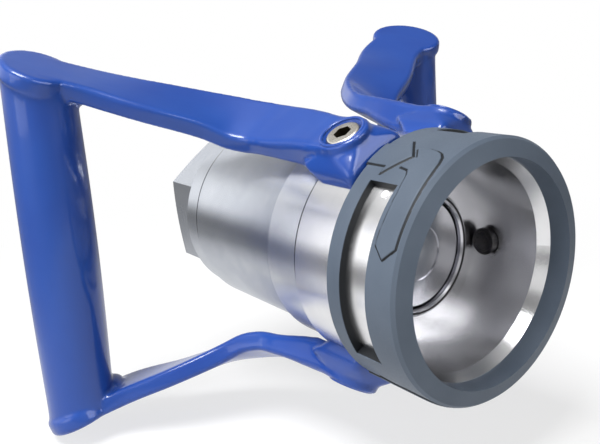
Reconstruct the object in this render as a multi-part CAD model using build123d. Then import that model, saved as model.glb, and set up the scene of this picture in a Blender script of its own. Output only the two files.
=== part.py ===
"""Hose unit of a push-and-turn dry break coupling, 3 inch size.

Millimetres. The coupling axis is Y: the mouth faces -Y and the hose leaves along +Y. +Z is up.
The origin is the centre of the bell's front rim.
"""
from build123d import *
import os
from math import cos, pi, radians, sin, sqrt

# Bell housing
MATE_FLANGE_D = 119.0        # flange of the mating half
MOUTH_CLEARANCE = 0.3        # radial room round the mating flange
MOUTH_R = MATE_FLANGE_D / 2 + MOUTH_CLEARANCE
BELL_WALL = 10.6
BELL_OUTER_R = MOUTH_R + BELL_WALL
LEAD_IN_WIDTH = 3.8
LEAD_IN_LENGTH = 7.0
RIM_OUTER_R = MOUTH_R + LEAD_IN_WIDTH   # outer edge of the bright lead-in
RIM_BEVEL = 3.0              # front outer bevel, hidden by the bumper's lip
FLOOR_Y = 54.0               # depth of the mouth
FLOOR_THICKNESS = 6.0
FLOOR_BACK_Y = FLOOR_Y + FLOOR_THICKNESS
SKIRT_WALL = 10.4
SKIRT_LENGTH = 15.5
SKIRT_INNER_R = BELL_OUTER_R - SKIRT_WALL   # bearing bore for the barrel
BELL_LENGTH = FLOOR_BACK_Y + SKIRT_LENGTH
EDGE_BREAK = 0.6
CUT_MARGIN = 1.0             # how far a cutting shape runs past the surface that it cuts

# Bumper ring
BUMPER_WALL = 4.6
BUMPER_R = BELL_OUTER_R + BUMPER_WALL
BUMPER_FRONT_OVERHANG = 10.0  # outer front edge, ahead of the bell's rim
BUMPER_LIP_OVERHANG = 12.8    # inner front edge, ahead of the bell's rim
BUMPER_LIP_R = RIM_OUTER_R + 0.5
BUMPER_REAR_SETBACK = 33.6
BUMPER_REAR_Y = BELL_LENGTH - BUMPER_REAR_SETBACK
BUMPER_EDGE = 1.6
BUMPER_CROWN = 0.3           # lean of the front face near its outer edge
WINDOW_START_Y = 10.1
WINDOW_WIDTH = 20.2
WINDOW_SPAN = 78.5           # degrees
WINDOW_COUNT = 3
WINDOW_CENTRE = 171.8        # degrees from +X, towards +Z
PIN_R = 2.3                  # locating pin of the bumper
PIN_SETBACK = 9.2            # behind the window's front edge
PIN_Y = WINDOW_START_Y + PIN_SETBACK
PIN_MARGIN = 3.45            # degrees, from the window's end
PIN_ANGLE = WINDOW_CENTRE - WINDOW_SPAN / 2 + PIN_MARGIN
PIN_DEPTH = 6.0
PIN_PROUD = 0.6

# Cam rollers in the mouth
ROLLER_COUNT = 3
ROLLER_ANGLE = -4.4          # degrees, the roller that the open side shows
ROLLER_FLOOR_GAP = 1.5
ROLLER_R = 8.6
ROLLER_Y = FLOOR_Y - ROLLER_FLOOR_GAP - ROLLER_R
ROLLER_HEIGHT = 4.8          # how far a roller stands out of the mouth's wall
ROLLER_END_R = MOUTH_R - ROLLER_HEIGHT
ROLLER_SEAT_DEPTH = 0.6
ROLLER_SEAT_R = MOUTH_R + ROLLER_SEAT_DEPTH   # flat spot face in the bell wall
ROLLER_SEAT_MARGIN = 0.6
ROLLER_BEVEL = 0.6
ROLLER_AXIAL_GAP = 0.3
ROLLER_PIN_R = 4.0
ROLLER_PIN_HEAD_R = 6.2
ROLLER_PIN_HEAD_T = 1.8
ROLLER_PIN_HEAD_GAP = 0.2
ROLLER_PIN_COVER = 2.4       # bell wall left over a pin's end
ROLLER_PIN_BOTTOM_R = BELL_OUTER_R - ROLLER_PIN_COVER
RUNNING_GAP = 0.05           # radial, between a shaft and its bore

# Swivel barrel
PARTING_GAP = 0.6            # dark line between bell and barrel
SPIGOT_GAP = 0.4             # radial, spigot to skirt
SPIGOT_R = SKIRT_INNER_R - SPIGOT_GAP
THRUST_WASHER_T = 1.2
THRUST_GAP = 0.3
SPIGOT_FRONT_Y = FLOOR_BACK_Y + THRUST_GAP + THRUST_WASHER_T
STEP_SETBACK = 3.2           # radial, below the bell's skirt
BARREL_STEP_R = BELL_OUTER_R - STEP_SETBACK
BARREL_STEP_LENGTH = 31.7
STEP_HEIGHT = 3.4
BARREL_R = BARREL_STEP_R - STEP_HEIGHT
BARREL_LENGTH = 92.0
BARREL_CHAMFER = 1.2
STEP_FRONT_Y = BELL_LENGTH + PARTING_GAP
STEP_REAR_Y = STEP_FRONT_Y + BARREL_STEP_LENGTH
BARREL_REAR_Y = STEP_REAR_Y + BARREL_LENGTH
CHAMBER_WALL = 7.6
CHAMBER_R = SPIGOT_R - CHAMBER_WALL
CHAMBER_SETBACK = 16.6
CHAMBER_Y = STEP_FRONT_Y + CHAMBER_SETBACK
ADAPTER_SOCKET_DEPTH = 27.8
CHAMBER_REAR_Y = BARREL_REAR_Y - ADAPTER_SOCKET_DEPTH
ADAPTER_SOCKET_WALL = 7.8
ADAPTER_BORE_R = BARREL_R - ADAPTER_SOCKET_WALL
WIRE_R = 1.5
WIRE_SETBACK = 8.0
WIRE_Y = FLOOR_BACK_Y + WIRE_SETBACK
WIRE_GROOVE_GAP = 0.1
BEARING_RING_WIDTH = 2.6
BEARING_RING_DEPTH = 1.8
BEARING_RING_SPREAD = 3.95   # each side of the wire
BEARING_RING_YS = (WIRE_Y - BEARING_RING_SPREAD, WIRE_Y + BEARING_RING_SPREAD)
DUST_SEAL_WIDTH = 1.6
DUST_SEAL_DEPTH = 2.2
DUST_SEAL_PROUD = 0.3
WASHER_BORE_ROOM = 6.0       # radial room of the thrust washer round the sleeve
NOTCH_ANGLE = 178.0
NOTCH_WIDTH = 9.0
NOTCH_LENGTH = 3.2
NOTCH_DEPTH = 4.0
SLEEVE_SEAL_SETBACK = 3.9
SLEEVE_SEAL_Y = STEP_FRONT_Y + SLEEVE_SEAL_SETBACK
SLEEVE_SEAL_SECTION_R = 2.0

# Valve sleeve
SPRING_ROOM = 13.5           # radial room for the spring between sleeve and chamber
SLEEVE_R = CHAMBER_R - SPRING_ROOM
SLEEVE_WALL = 4.3
SLEEVE_BORE_R = SLEEVE_R - SLEEVE_WALL
SLEEVE_EDGE = 1.0
SLEEVE_PROUD = 11.4          # how far the sleeve stands out of the bell's floor
SLEEVE_LENGTH = 82.4
SLEEVE_FRONT_Y = FLOOR_Y - SLEEVE_PROUD
SLEEVE_REAR_Y = SLEEVE_FRONT_Y + SLEEVE_LENGTH
SLEEVE_FLANGE_T = 8.0
SLEEVE_FLANGE_GAP = 0.3      # axial, flange to the chamber's front wall
SLEEVE_FLANGE_Y = CHAMBER_Y + SLEEVE_FLANGE_GAP
SLEEVE_FLANGE_R = CHAMBER_R - 0.4
FLANGE_REAR_Y = SLEEVE_FLANGE_Y + SLEEVE_FLANGE_T
GUIDE_BORE_R = SLEEVE_R + RUNNING_GAP
GUIDE_RING_WIDTH = 4.0
GUIDE_RING_DEPTH = 2.0
FLOOR_HOLE_GAP = 0.9         # radial, between sleeve and bell floor
FACE_SEAL_WALL = 1.3         # sleeve wall left on each side of the face seal
FACE_SEAL_INNER_R = SLEEVE_BORE_R + FACE_SEAL_WALL
FACE_SEAL_OUTER_R = SLEEVE_R - FACE_SEAL_WALL
FACE_SEAL_DEPTH = 1.8
FACE_SEAL_PROUD = 0.4
WIPER_WIDTH = 3.0
WIPER_GAP = 0.08
WIPER_DEPTH = 4.0
WIPER_R = SLEEVE_R + WIPER_DEPTH

# Spider, poppet and spring
SPIDER_T = 8.0
SPIDER_REAR_Y = CHAMBER_REAR_Y + SPIDER_T
SPIDER_RIM = 16.0
SPIDER_INNER_R = ADAPTER_BORE_R - SPIDER_RIM
SPIDER_HUB_R = 11.0
SPIDER_HUB_OVERHANG = 6.0
SPIDER_LEG_T = 6.0
SPIDER_LEGS = 3
SPIDER_LEG_ROOT = 2.0        # how far a leg runs into the rim
STEM_R = 7.0
STEM_THREAD_R = 6.0
STEM_FLARE = 3.0
STEM_END = 2.0               # stem past its nut
POPPET_GAP = 0.8             # radial, bridged by the poppet seal
POPPET_R = SLEEVE_BORE_R - POPPET_GAP
POPPET_SETBACK = 3.0
POPPET_FRONT_Y = SLEEVE_FRONT_Y + POPPET_SETBACK
POPPET_EDGE = 1.0
POPPET_RIM_T = 6.0
POPPET_CONE_LENGTH = 16.0
POPPET_DISH_RIM = 16.4
POPPET_DISH_R = POPPET_R - POPPET_DISH_RIM
POPPET_DISH_DEPTH = 0.8
POPPET_SEAL_SECTION_R = 1.5
POPPET_SEAL_OFFSET = 0.3
NUT_FLATS = 19.0
NUT_T = 10.0
WASHER_R = 12.0
WASHER_T = 2.5
SPRING_SETBACK = 6.0
SPRING_MEAN_R = CHAMBER_R - SPRING_SETBACK
SPRING_WIRE_R = 2.5
SPRING_TURNS = 5.0
SPRING_END_GAP = 0.3

# Hose end adapter
ADAPTER_RING_SETBACK = 2.4
ADAPTER_RING_R = BARREL_R - ADAPTER_RING_SETBACK
ADAPTER_RING_LENGTH = 18.0
RING_REAR_Y = BARREL_REAR_Y + ADAPTER_RING_LENGTH
THREAD_MINOR_R = 42.46       # G 3 internal thread, minor diameter 84.93
THREAD_LENGTH = 27.0
THREAD_LEAD_IN = 2.2
ADAPTER_GROOVE_LENGTH = 2.6
ADAPTER_GROOVE_WALL = 5.04
ADAPTER_GROOVE_R = THREAD_MINOR_R + ADAPTER_GROOVE_WALL
HEX_WALL = 7.54              # flat to thread
HEX_FLATS = 2 * (THREAD_MINOR_R + HEX_WALL)
HEX_TURN = 35.5              # degrees of a corner from +X
HEX_LENGTH = 34.0
HEX_BEVEL = 3.0
HEX_FRONT_Y = RING_REAR_Y + ADAPTER_GROOVE_LENGTH
HEX_REAR_Y = HEX_FRONT_Y + HEX_LENGTH
THREAD_Y = HEX_REAR_Y - THREAD_LENGTH
HOSE_STOP_WIDTH = 4.46       # step at the thread's end
HOSE_BORE_R = THREAD_MINOR_R - HOSE_STOP_WIDTH
GASKET_T = 2.5
GASKET_UNDERCUT = 1.14
GASKET_R = THREAD_MINOR_R + GASKET_UNDERCUT
ADAPTER_SEAL_SECTION_R = 1.7
ADAPTER_SEAL_GAP = 0.2
ADAPTER_SEAL_Y = (SPIDER_REAR_Y + BARREL_REAR_Y) / 2

# Handles
ARM_TILT = 29.0              # degrees of the screw line from the vertical
ARM_RISE = 17.6              # outer face of an arm above the bell
ARM_FACE_H = BELL_OUTER_R + ARM_RISE
ARM_CORNER_SHARE = 0.38      # of the thickness
NOSE_TIP_RISE = 6.6
NOSE_TIP_H = BELL_OUTER_R + NOSE_TIP_RISE
NOSE_SLOPE_LENGTH = 7.0
NOSE_CUT_LENGTH = 12.0
BUMPER_CLEARANCE = 0.4
BOSS_FRONT_Y = BUMPER_REAR_Y + BUMPER_CLEARANCE
BOSS_LENGTH = 38.0
BOSS_TAPER = 2.0             # rear end and half width, from each level to the next
BOSS_HALF_WIDTH = 20.5
BOSS_TOP_HALF_WIDTH = 13.5
BOSS_ROOT_DEPTH = 7.4
BOSS_BOTTOM_H = BELL_OUTER_R - BOSS_ROOT_DEPTH
BOSS_TOP_DROP = 4.0
BOSS_TOP_H = ARM_FACE_H - BOSS_TOP_DROP
BOSS_CORNER = 6.0
SCREW_SETBACK = 13.5
SCREW_Y = BELL_LENGTH - SCREW_SETBACK
COUNTERBORE_R = 12.3
COUNTERBORE_DEPTH = 7.4
COUNTERBORE_RIM = 1.8
COUNTERBORE_LIP = 0.7
GRIP_HALF_LONG = 24.5
GRIP_HALF_SHORT = 21.7
GRIP_TURN = 70.0             # degrees of the oval's long side from X
GRIP_BULGE = 1.08
GRIP_END_SINK = 2.0          # grip's end below the middle of its cap
CAP_Y = 213.3
CAP_RISE = 88.2              # above the arm's face, along the screw line
CAP_SIDE = 81.8              # sideways off the screw line
CAP_ACROSS = (0.515, 0.844, 0.149)

# Handle screws, M12 button head
SCREW_R = 6.0
SCREW_CLEARANCE = 0.5
SCREW_HEAD_R = 10.5
SCREW_HEAD_T = 6.6
SCREW_HEAD_EDGE = 1.0
SCREW_TOP_R = 6.6            # flat on top of the dome
SCREW_SOCKET_FLATS = 8.0
SCREW_SOCKET_DEPTH = 4.2
SCREW_ENGAGEMENT = 7.8
SCREW_BOTTOM_R = BELL_OUTER_R - SCREW_ENGAGEMENT

PARTS_FOLDER = "parts"


def outline(points):
    """Closed face from (radius, y) points."""
    return make_face(Polyline(*points, close=True))


def turned(points):
    """Solid of revolution about the coupling axis from (radius, y) points."""
    return revolve(outline(points), Axis.Y, 360)


def ring(inner_r, outer_r, y0, y1):
    """Plain ring between two radii and two stations."""
    return turned([(inner_r, y0), (outer_r, y0), (outer_r, y1), (inner_r, y1)])


def disc(radius, y0, y1):
    """Plain disc or bar on the coupling axis."""
    return turned([(0, y0), (radius, y0), (radius, y1), (0, y1)])


def o_ring(mean_r, section_r, y):
    """Torus about the coupling axis."""
    section = Pos(mean_r, y) * Circle(section_r)
    return revolve(section, Axis.Y, 360)


def radial_plane(angle, radius, y):
    """Plane square to the radius at an angle, facing outwards, with its x along the coupling axis."""
    a = radians(angle)
    outward = Vector(cos(a), 0, sin(a))
    return Plane(origin=outward * radius + Vector(0, y, 0), x_dir=(0, 1, 0), z_dir=outward)


def radial_bar(angle, y, radius, r0, r1):
    """Cylinder along a radius, from r0 to r1."""
    return extrude(radial_plane(angle, r0, y) * Circle(radius), r1 - r0)


def roller_angles():
    """Angles of the cam rollers."""
    return [ROLLER_ANGLE + 360 / ROLLER_COUNT * k for k in range(ROLLER_COUNT)]


def build_bell_housing():
    """Bell: mouth, floor, rear skirt, roller seats and the screw holes of the handles."""
    hole_r = SLEEVE_R + FLOOR_HOLE_GAP
    body = turned([
        (RIM_OUTER_R, 0), (MOUTH_R, LEAD_IN_LENGTH), (MOUTH_R, FLOOR_Y), (hole_r, FLOOR_Y),
        (hole_r, FLOOR_BACK_Y), (SKIRT_INNER_R, FLOOR_BACK_Y), (SKIRT_INNER_R, BELL_LENGTH),
        (BELL_OUTER_R - EDGE_BREAK, BELL_LENGTH), (BELL_OUTER_R, BELL_LENGTH - EDGE_BREAK),
        (BELL_OUTER_R, RIM_BEVEL), (BELL_OUTER_R - RIM_BEVEL, 0)])
    wiper_y = FLOOR_Y + (FLOOR_THICKNESS - WIPER_WIDTH) / 2
    body -= ring(hole_r - CUT_MARGIN, WIPER_R, wiper_y, wiper_y + WIPER_WIDTH)
    body -= o_ring(SPIGOT_R + SPIGOT_GAP / 2, WIRE_R + WIRE_GROOVE_GAP, WIRE_Y)
    seal_front = BELL_LENGTH - DUST_SEAL_WIDTH
    body -= ring(SKIRT_INNER_R - CUT_MARGIN, SKIRT_INNER_R + DUST_SEAL_DEPTH, seal_front,
                 BELL_LENGTH + CUT_MARGIN)
    for angle in roller_angles():
        body -= radial_bar(angle, ROLLER_Y, ROLLER_R + ROLLER_SEAT_MARGIN, ROLLER_END_R, ROLLER_SEAT_R)
        body -= radial_bar(angle, ROLLER_Y, ROLLER_PIN_R, ROLLER_END_R, ROLLER_PIN_BOTTOM_R)
    for angle in screw_angles():
        body -= radial_bar(angle, SCREW_Y, SCREW_R, SCREW_BOTTOM_R, BELL_OUTER_R + CUT_MARGIN)
    body -= radial_bar(PIN_ANGLE, PIN_Y, PIN_R, BELL_OUTER_R - PIN_DEPTH, BELL_OUTER_R + CUT_MARGIN)
    return body


def build_bumper_ring():
    """Soft ring round the bell, with a front lip and arc windows."""
    front = -BUMPER_FRONT_OVERHANG
    body = turned([
        (BUMPER_LIP_R, -BUMPER_LIP_OVERHANG), (BUMPER_R - BUMPER_EDGE, front - BUMPER_CROWN),
        (BUMPER_R, front + BUMPER_EDGE), (BUMPER_R, BUMPER_REAR_Y - BUMPER_EDGE),
        (BUMPER_R - BUMPER_EDGE, BUMPER_REAR_Y), (BELL_OUTER_R, BUMPER_REAR_Y),
        (BELL_OUTER_R, RIM_BEVEL), (BELL_OUTER_R - RIM_BEVEL, 0), (BUMPER_LIP_R, 0)])
    band = ring(BELL_OUTER_R - CUT_MARGIN, BUMPER_R + CUT_MARGIN, WINDOW_START_Y,
                WINDOW_START_Y + WINDOW_WIDTH)
    for k in range(WINDOW_COUNT):
        centre = WINDOW_CENTRE + 360 / WINDOW_COUNT * k
        body -= band & wedge(centre, WINDOW_SPAN)
    return body


def wedge(centre, span):
    """Sector of a thick disc about the coupling axis, wide enough to cut the bumper."""
    reach = BUMPER_R * 2
    half = radians(span / 2)
    c = radians(centre)
    corners = [(0, 0)] + [(reach * cos(c + t * half), reach * sin(c + t * half)) for t in (-1, 0, 1)]
    face = Plane.XZ * make_face(Polyline(*corners, close=True))
    return extrude(face, BUMPER_R, both=True)


def build_locating_pin():
    """Dowel that keeps the bumper from turning on the bell."""
    return radial_bar(PIN_ANGLE, PIN_Y, PIN_R, BELL_OUTER_R - PIN_DEPTH, BELL_OUTER_R + PIN_PROUD)


def build_cam_roller(angle):
    """Roller: a ring with a recess for its pin's head."""
    back = ROLLER_SEAT_R - ROLLER_AXIAL_GAP
    roller = radial_bar(angle, ROLLER_Y, ROLLER_R, ROLLER_END_R, back)
    roller = chamfer(roller.edges().filter_by(GeomType.CIRCLE), ROLLER_BEVEL)
    roller -= radial_bar(angle, ROLLER_Y, ROLLER_PIN_R + RUNNING_GAP, ROLLER_END_R - CUT_MARGIN,
                         back + CUT_MARGIN)
    recess_r = ROLLER_PIN_HEAD_R + ROLLER_PIN_HEAD_GAP
    recess_end = ROLLER_END_R + ROLLER_PIN_HEAD_T + ROLLER_AXIAL_GAP
    roller -= radial_bar(angle, ROLLER_Y, recess_r, ROLLER_END_R - CUT_MARGIN, recess_end)
    return roller


def build_roller_pins():
    """Shoulder pins pressed into the bell, one in each roller."""
    pins = []
    for angle in roller_angles():
        shank = radial_bar(angle, ROLLER_Y, ROLLER_PIN_R, ROLLER_END_R, ROLLER_PIN_BOTTOM_R)
        head = radial_bar(angle, ROLLER_Y, ROLLER_PIN_HEAD_R, ROLLER_END_R, ROLLER_END_R + ROLLER_PIN_HEAD_T)
        pins.append(shank + head)
    return pins


def build_mouth_wiper():
    """Wiper ring in the bell floor, round the sleeve."""
    wiper_y = FLOOR_Y + (FLOOR_THICKNESS - WIPER_WIDTH) / 2
    return ring(SLEEVE_R + WIPER_GAP, WIPER_R, wiper_y, wiper_y + WIPER_WIDTH)


def build_swivel_barrel():
    """Stepped barrel: spigot in the bell's skirt, sleeve guide, spring chamber and adapter bore."""
    c = BARREL_CHAMFER
    body = turned([
        (GUIDE_BORE_R, SPIGOT_FRONT_Y), (SPIGOT_R, SPIGOT_FRONT_Y), (SPIGOT_R, STEP_FRONT_Y),
        (BARREL_STEP_R - EDGE_BREAK, STEP_FRONT_Y), (BARREL_STEP_R, STEP_FRONT_Y + EDGE_BREAK),
        (BARREL_STEP_R, STEP_REAR_Y - c), (BARREL_STEP_R - c, STEP_REAR_Y), (BARREL_R, STEP_REAR_Y),
        (BARREL_R, BARREL_REAR_Y - c), (BARREL_R - c, BARREL_REAR_Y), (ADAPTER_BORE_R, BARREL_REAR_Y),
        (ADAPTER_BORE_R, CHAMBER_REAR_Y), (CHAMBER_R, CHAMBER_REAR_Y), (CHAMBER_R, CHAMBER_Y),
        (GUIDE_BORE_R, CHAMBER_Y)])
    body -= o_ring(SPIGOT_R + SPIGOT_GAP / 2, WIRE_R, WIRE_Y)
    for y in BEARING_RING_YS:
        body -= ring(SPIGOT_R - BEARING_RING_DEPTH, SPIGOT_R + CUT_MARGIN, y - BEARING_RING_WIDTH / 2,
                     y + BEARING_RING_WIDTH / 2)
    body -= ring(GUIDE_BORE_R - CUT_MARGIN, GUIDE_BORE_R + 2 * SLEEVE_SEAL_SECTION_R,
                 SLEEVE_SEAL_Y - SLEEVE_SEAL_SECTION_R, SLEEVE_SEAL_Y + SLEEVE_SEAL_SECTION_R)
    notch_plane = radial_plane(NOTCH_ANGLE, BARREL_STEP_R + CUT_MARGIN, STEP_FRONT_Y)
    notch = extrude(notch_plane * Rectangle(2 * NOTCH_LENGTH, NOTCH_WIDTH), -(NOTCH_DEPTH + CUT_MARGIN))
    return body - notch


def build_swivel_bearing_rings():
    """Plain bearing rings between barrel and bell."""
    inner = SPIGOT_R - BEARING_RING_DEPTH
    outer = SKIRT_INNER_R - RUNNING_GAP
    half = BEARING_RING_WIDTH / 2
    return [ring(inner, outer, y - half, y + half) for y in BEARING_RING_YS]


def build_locking_wire():
    """Round wire that fills the half grooves of barrel and bell."""
    return o_ring(SPIGOT_R + SPIGOT_GAP / 2, WIRE_R, WIRE_Y)


def build_thrust_washer():
    """Washer on the barrel's front face, behind the bell floor."""
    return ring(GUIDE_BORE_R + WASHER_BORE_ROOM, SPIGOT_R - CUT_MARGIN, SPIGOT_FRONT_Y - THRUST_WASHER_T,
                SPIGOT_FRONT_Y)


def build_swivel_dust_seal():
    """Ring in the parting line, held in the end of the bell's skirt."""
    seal_front = BELL_LENGTH - DUST_SEAL_WIDTH
    return ring(SKIRT_INNER_R, SKIRT_INNER_R + DUST_SEAL_DEPTH, seal_front, BELL_LENGTH + DUST_SEAL_PROUD)


def build_sleeve_seal():
    """O-ring in the barrel's guide bore."""
    return o_ring(GUIDE_BORE_R + SLEEVE_SEAL_SECTION_R, SLEEVE_SEAL_SECTION_R, SLEEVE_SEAL_Y)


def build_valve_sleeve():
    """Sliding sleeve: front ring in the mouth, guide flange in the chamber."""
    groove_y = SLEEVE_FLANGE_Y + (SLEEVE_FLANGE_T - GUIDE_RING_WIDTH) / 2
    body = turned([
        (SLEEVE_BORE_R, SLEEVE_FRONT_Y + SLEEVE_EDGE), (SLEEVE_BORE_R + SLEEVE_EDGE, SLEEVE_FRONT_Y),
        (SLEEVE_R - SLEEVE_EDGE, SLEEVE_FRONT_Y), (SLEEVE_R, SLEEVE_FRONT_Y + SLEEVE_EDGE),
        (SLEEVE_R, SLEEVE_FLANGE_Y), (SLEEVE_FLANGE_R, SLEEVE_FLANGE_Y), (SLEEVE_FLANGE_R, groove_y),
        (SLEEVE_FLANGE_R - GUIDE_RING_DEPTH, groove_y),
        (SLEEVE_FLANGE_R - GUIDE_RING_DEPTH, groove_y + GUIDE_RING_WIDTH),
        (SLEEVE_FLANGE_R, groove_y + GUIDE_RING_WIDTH), (SLEEVE_FLANGE_R, FLANGE_REAR_Y),
        (SLEEVE_R, FLANGE_REAR_Y), (SLEEVE_R, SLEEVE_REAR_Y), (SLEEVE_BORE_R, SLEEVE_REAR_Y)])
    seat_y = SLEEVE_FRONT_Y + FACE_SEAL_DEPTH
    return body - ring(FACE_SEAL_INNER_R, FACE_SEAL_OUTER_R, SLEEVE_FRONT_Y - CUT_MARGIN, seat_y)


def build_face_seal():
    """Seal in the sleeve's front face, its lip a little proud."""
    front = SLEEVE_FRONT_Y - FACE_SEAL_PROUD
    back = SLEEVE_FRONT_Y + FACE_SEAL_DEPTH
    soft = FACE_SEAL_PROUD
    return turned([
        (FACE_SEAL_INNER_R, back), (FACE_SEAL_INNER_R, SLEEVE_FRONT_Y), (FACE_SEAL_INNER_R + soft, front),
        (FACE_SEAL_OUTER_R - soft, front), (FACE_SEAL_OUTER_R, SLEEVE_FRONT_Y), (FACE_SEAL_OUTER_R, back)])


def build_sleeve_guide_ring():
    """Guide ring on the sleeve's flange."""
    groove_y = SLEEVE_FLANGE_Y + (SLEEVE_FLANGE_T - GUIDE_RING_WIDTH) / 2
    return ring(SLEEVE_FLANGE_R - GUIDE_RING_DEPTH, CHAMBER_R - RUNNING_GAP, groove_y,
                groove_y + GUIDE_RING_WIDTH)


def build_poppet():
    """Fixed poppet: disc, cone, stem and threaded tail."""
    rim_y = POPPET_FRONT_Y + POPPET_RIM_T
    cone_y = rim_y + POPPET_CONE_LENGTH
    shoulder_y = SPIDER_REAR_Y + SPIDER_HUB_OVERHANG
    tail_y = shoulder_y + WASHER_T + NUT_T + STEM_END
    body = turned([
        (0, POPPET_FRONT_Y + POPPET_DISH_DEPTH), (POPPET_DISH_R, POPPET_FRONT_Y + POPPET_DISH_DEPTH),
        (POPPET_DISH_R, POPPET_FRONT_Y), (POPPET_R - POPPET_EDGE, POPPET_FRONT_Y),
        (POPPET_R, POPPET_FRONT_Y + POPPET_EDGE),
        (POPPET_R, rim_y), (STEM_R + STEM_FLARE, cone_y), (STEM_R, cone_y + STEM_FLARE), (STEM_R, shoulder_y),
        (STEM_THREAD_R, shoulder_y), (STEM_THREAD_R, tail_y), (0, tail_y)])
    return body - build_poppet_seal()


def build_poppet_seal():
    """Seal ring in the poppet's rim."""
    return o_ring(SLEEVE_BORE_R - RUNNING_GAP - POPPET_SEAL_SECTION_R, POPPET_SEAL_SECTION_R,
                  POPPET_FRONT_Y + POPPET_RIM_T / 2 + POPPET_SEAL_OFFSET)


def build_spider():
    """Spider: outer ring, legs and hub that hold the stem."""
    body = ring(SPIDER_INNER_R, ADAPTER_BORE_R, CHAMBER_REAR_Y, SPIDER_REAR_Y)
    leg_length = SPIDER_INNER_R + SPIDER_LEG_ROOT
    for k in range(SPIDER_LEGS):
        angle = 90 + 360 / SPIDER_LEGS * k
        plane = radial_plane(angle, 0, CHAMBER_REAR_Y + SPIDER_T / 2)
        body += extrude(plane * Rectangle(SPIDER_T, SPIDER_LEG_T), leg_length)
    body += disc(SPIDER_HUB_R, CHAMBER_REAR_Y - SPIDER_HUB_OVERHANG, SPIDER_REAR_Y + SPIDER_HUB_OVERHANG)
    return body - disc(STEM_R, CHAMBER_Y, SPIDER_REAR_Y + SPIDER_HUB_OVERHANG + CUT_MARGIN)


def build_stem_washer():
    """Washer under the stem nut."""
    y = SPIDER_REAR_Y + SPIDER_HUB_OVERHANG
    return ring(STEM_THREAD_R, WASHER_R, y, y + WASHER_T)


def hexagon(flats):
    """Regular hexagon of a given width across flats."""
    return RegularPolygon(flats / 2, 6, major_radius=False)


def build_stem_nut():
    """Hexagon nut on the stem's tail."""
    y = SPIDER_REAR_Y + SPIDER_HUB_OVERHANG + WASHER_T
    plane = Plane(origin=(0, y, 0), x_dir=(1, 0, 0), z_dir=(0, 1, 0))
    hole = disc(STEM_THREAD_R, y - CUT_MARGIN, y + NUT_T + CUT_MARGIN)
    return extrude(plane * hexagon(NUT_FLATS), NUT_T) - hole


def build_return_spring():
    """Coil spring between the sleeve's flange and the spider."""
    start_y = FLANGE_REAR_Y + SPRING_END_GAP + SPRING_WIRE_R
    height = CHAMBER_REAR_Y - SPRING_WIRE_R - start_y
    path = Helix(pitch=height / SPRING_TURNS, height=height, radius=SPRING_MEAN_R)
    section = Plane(origin=path @ 0, z_dir=path % 0) * Circle(SPRING_WIRE_R)
    coil = sweep(section, path=path, is_frenet=True)
    return Plane(origin=(0, start_y, 0), x_dir=(1, 0, 0), z_dir=(0, 1, 0)) * coil


def build_hose_end_adapter():
    """Adapter screwed into the barrel: spigot, ring, groove and threaded hexagon."""
    spigot_y = SPIDER_REAR_Y
    body = turned([
        (HOSE_BORE_R, spigot_y), (ADAPTER_BORE_R, spigot_y), (ADAPTER_BORE_R, BARREL_REAR_Y),
        (ADAPTER_RING_R, BARREL_REAR_Y), (ADAPTER_RING_R, RING_REAR_Y - EDGE_BREAK),
        (ADAPTER_RING_R - EDGE_BREAK, RING_REAR_Y), (ADAPTER_GROOVE_R, RING_REAR_Y),
        (ADAPTER_GROOVE_R, HEX_FRONT_Y + CUT_MARGIN), (HOSE_BORE_R, HEX_FRONT_Y + CUT_MARGIN)])
    turn = radians(HEX_TURN)
    plane = Plane(origin=(0, HEX_FRONT_Y, 0), x_dir=(cos(turn), 0, sin(turn)), z_dir=(0, 1, 0))
    nut = extrude(plane * hexagon(HEX_FLATS), HEX_LENGTH)
    corner_r = HEX_FLATS / sqrt(3)
    bevel = turned([
        (0, HEX_FRONT_Y), (corner_r, HEX_FRONT_Y), (corner_r, HEX_REAR_Y - HEX_BEVEL),
        (HEX_FLATS / 2 - CUT_MARGIN, HEX_REAR_Y), (0, HEX_REAR_Y)])
    body += nut & bevel
    body -= turned([
        (0, RING_REAR_Y), (HOSE_BORE_R, RING_REAR_Y), (HOSE_BORE_R, THREAD_Y - GASKET_T),
        (GASKET_R, THREAD_Y - GASKET_T), (GASKET_R, THREAD_Y), (THREAD_MINOR_R, THREAD_Y),
        (THREAD_MINOR_R, HEX_REAR_Y - THREAD_LEAD_IN), (THREAD_MINOR_R + THREAD_LEAD_IN, HEX_REAR_Y),
        (THREAD_MINOR_R + THREAD_LEAD_IN, HEX_REAR_Y + CUT_MARGIN), (0, HEX_REAR_Y + CUT_MARGIN)])
    groove_half = ADAPTER_SEAL_SECTION_R + ADAPTER_SEAL_GAP
    return body - ring(ADAPTER_BORE_R - 2 * ADAPTER_SEAL_SECTION_R, ADAPTER_BORE_R + CUT_MARGIN,
                       ADAPTER_SEAL_Y - groove_half, ADAPTER_SEAL_Y + groove_half)


def build_adapter_seal():
    """O-ring in the adapter's spigot."""
    return o_ring(ADAPTER_BORE_R - ADAPTER_SEAL_SECTION_R, ADAPTER_SEAL_SECTION_R, ADAPTER_SEAL_Y)


def build_hose_gasket():
    """Flat gasket at the bottom of the hose thread."""
    return ring(HOSE_BORE_R, GASKET_R, THREAD_Y - GASKET_T, THREAD_Y)


def screw_angles():
    """Angles of the handle screws: left upper, left lower, right upper, right lower."""
    return [90 + ARM_TILT, 270 - ARM_TILT, 90 - ARM_TILT, 270 + ARM_TILT]


def arm_point(y, height, side):
    """Point of the left upper arm from its station, height along the screw line and sideways offset."""
    t = radians(ARM_TILT)
    return Vector(-height * sin(t) - side * cos(t), y, height * cos(t) - side * sin(t))


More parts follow.
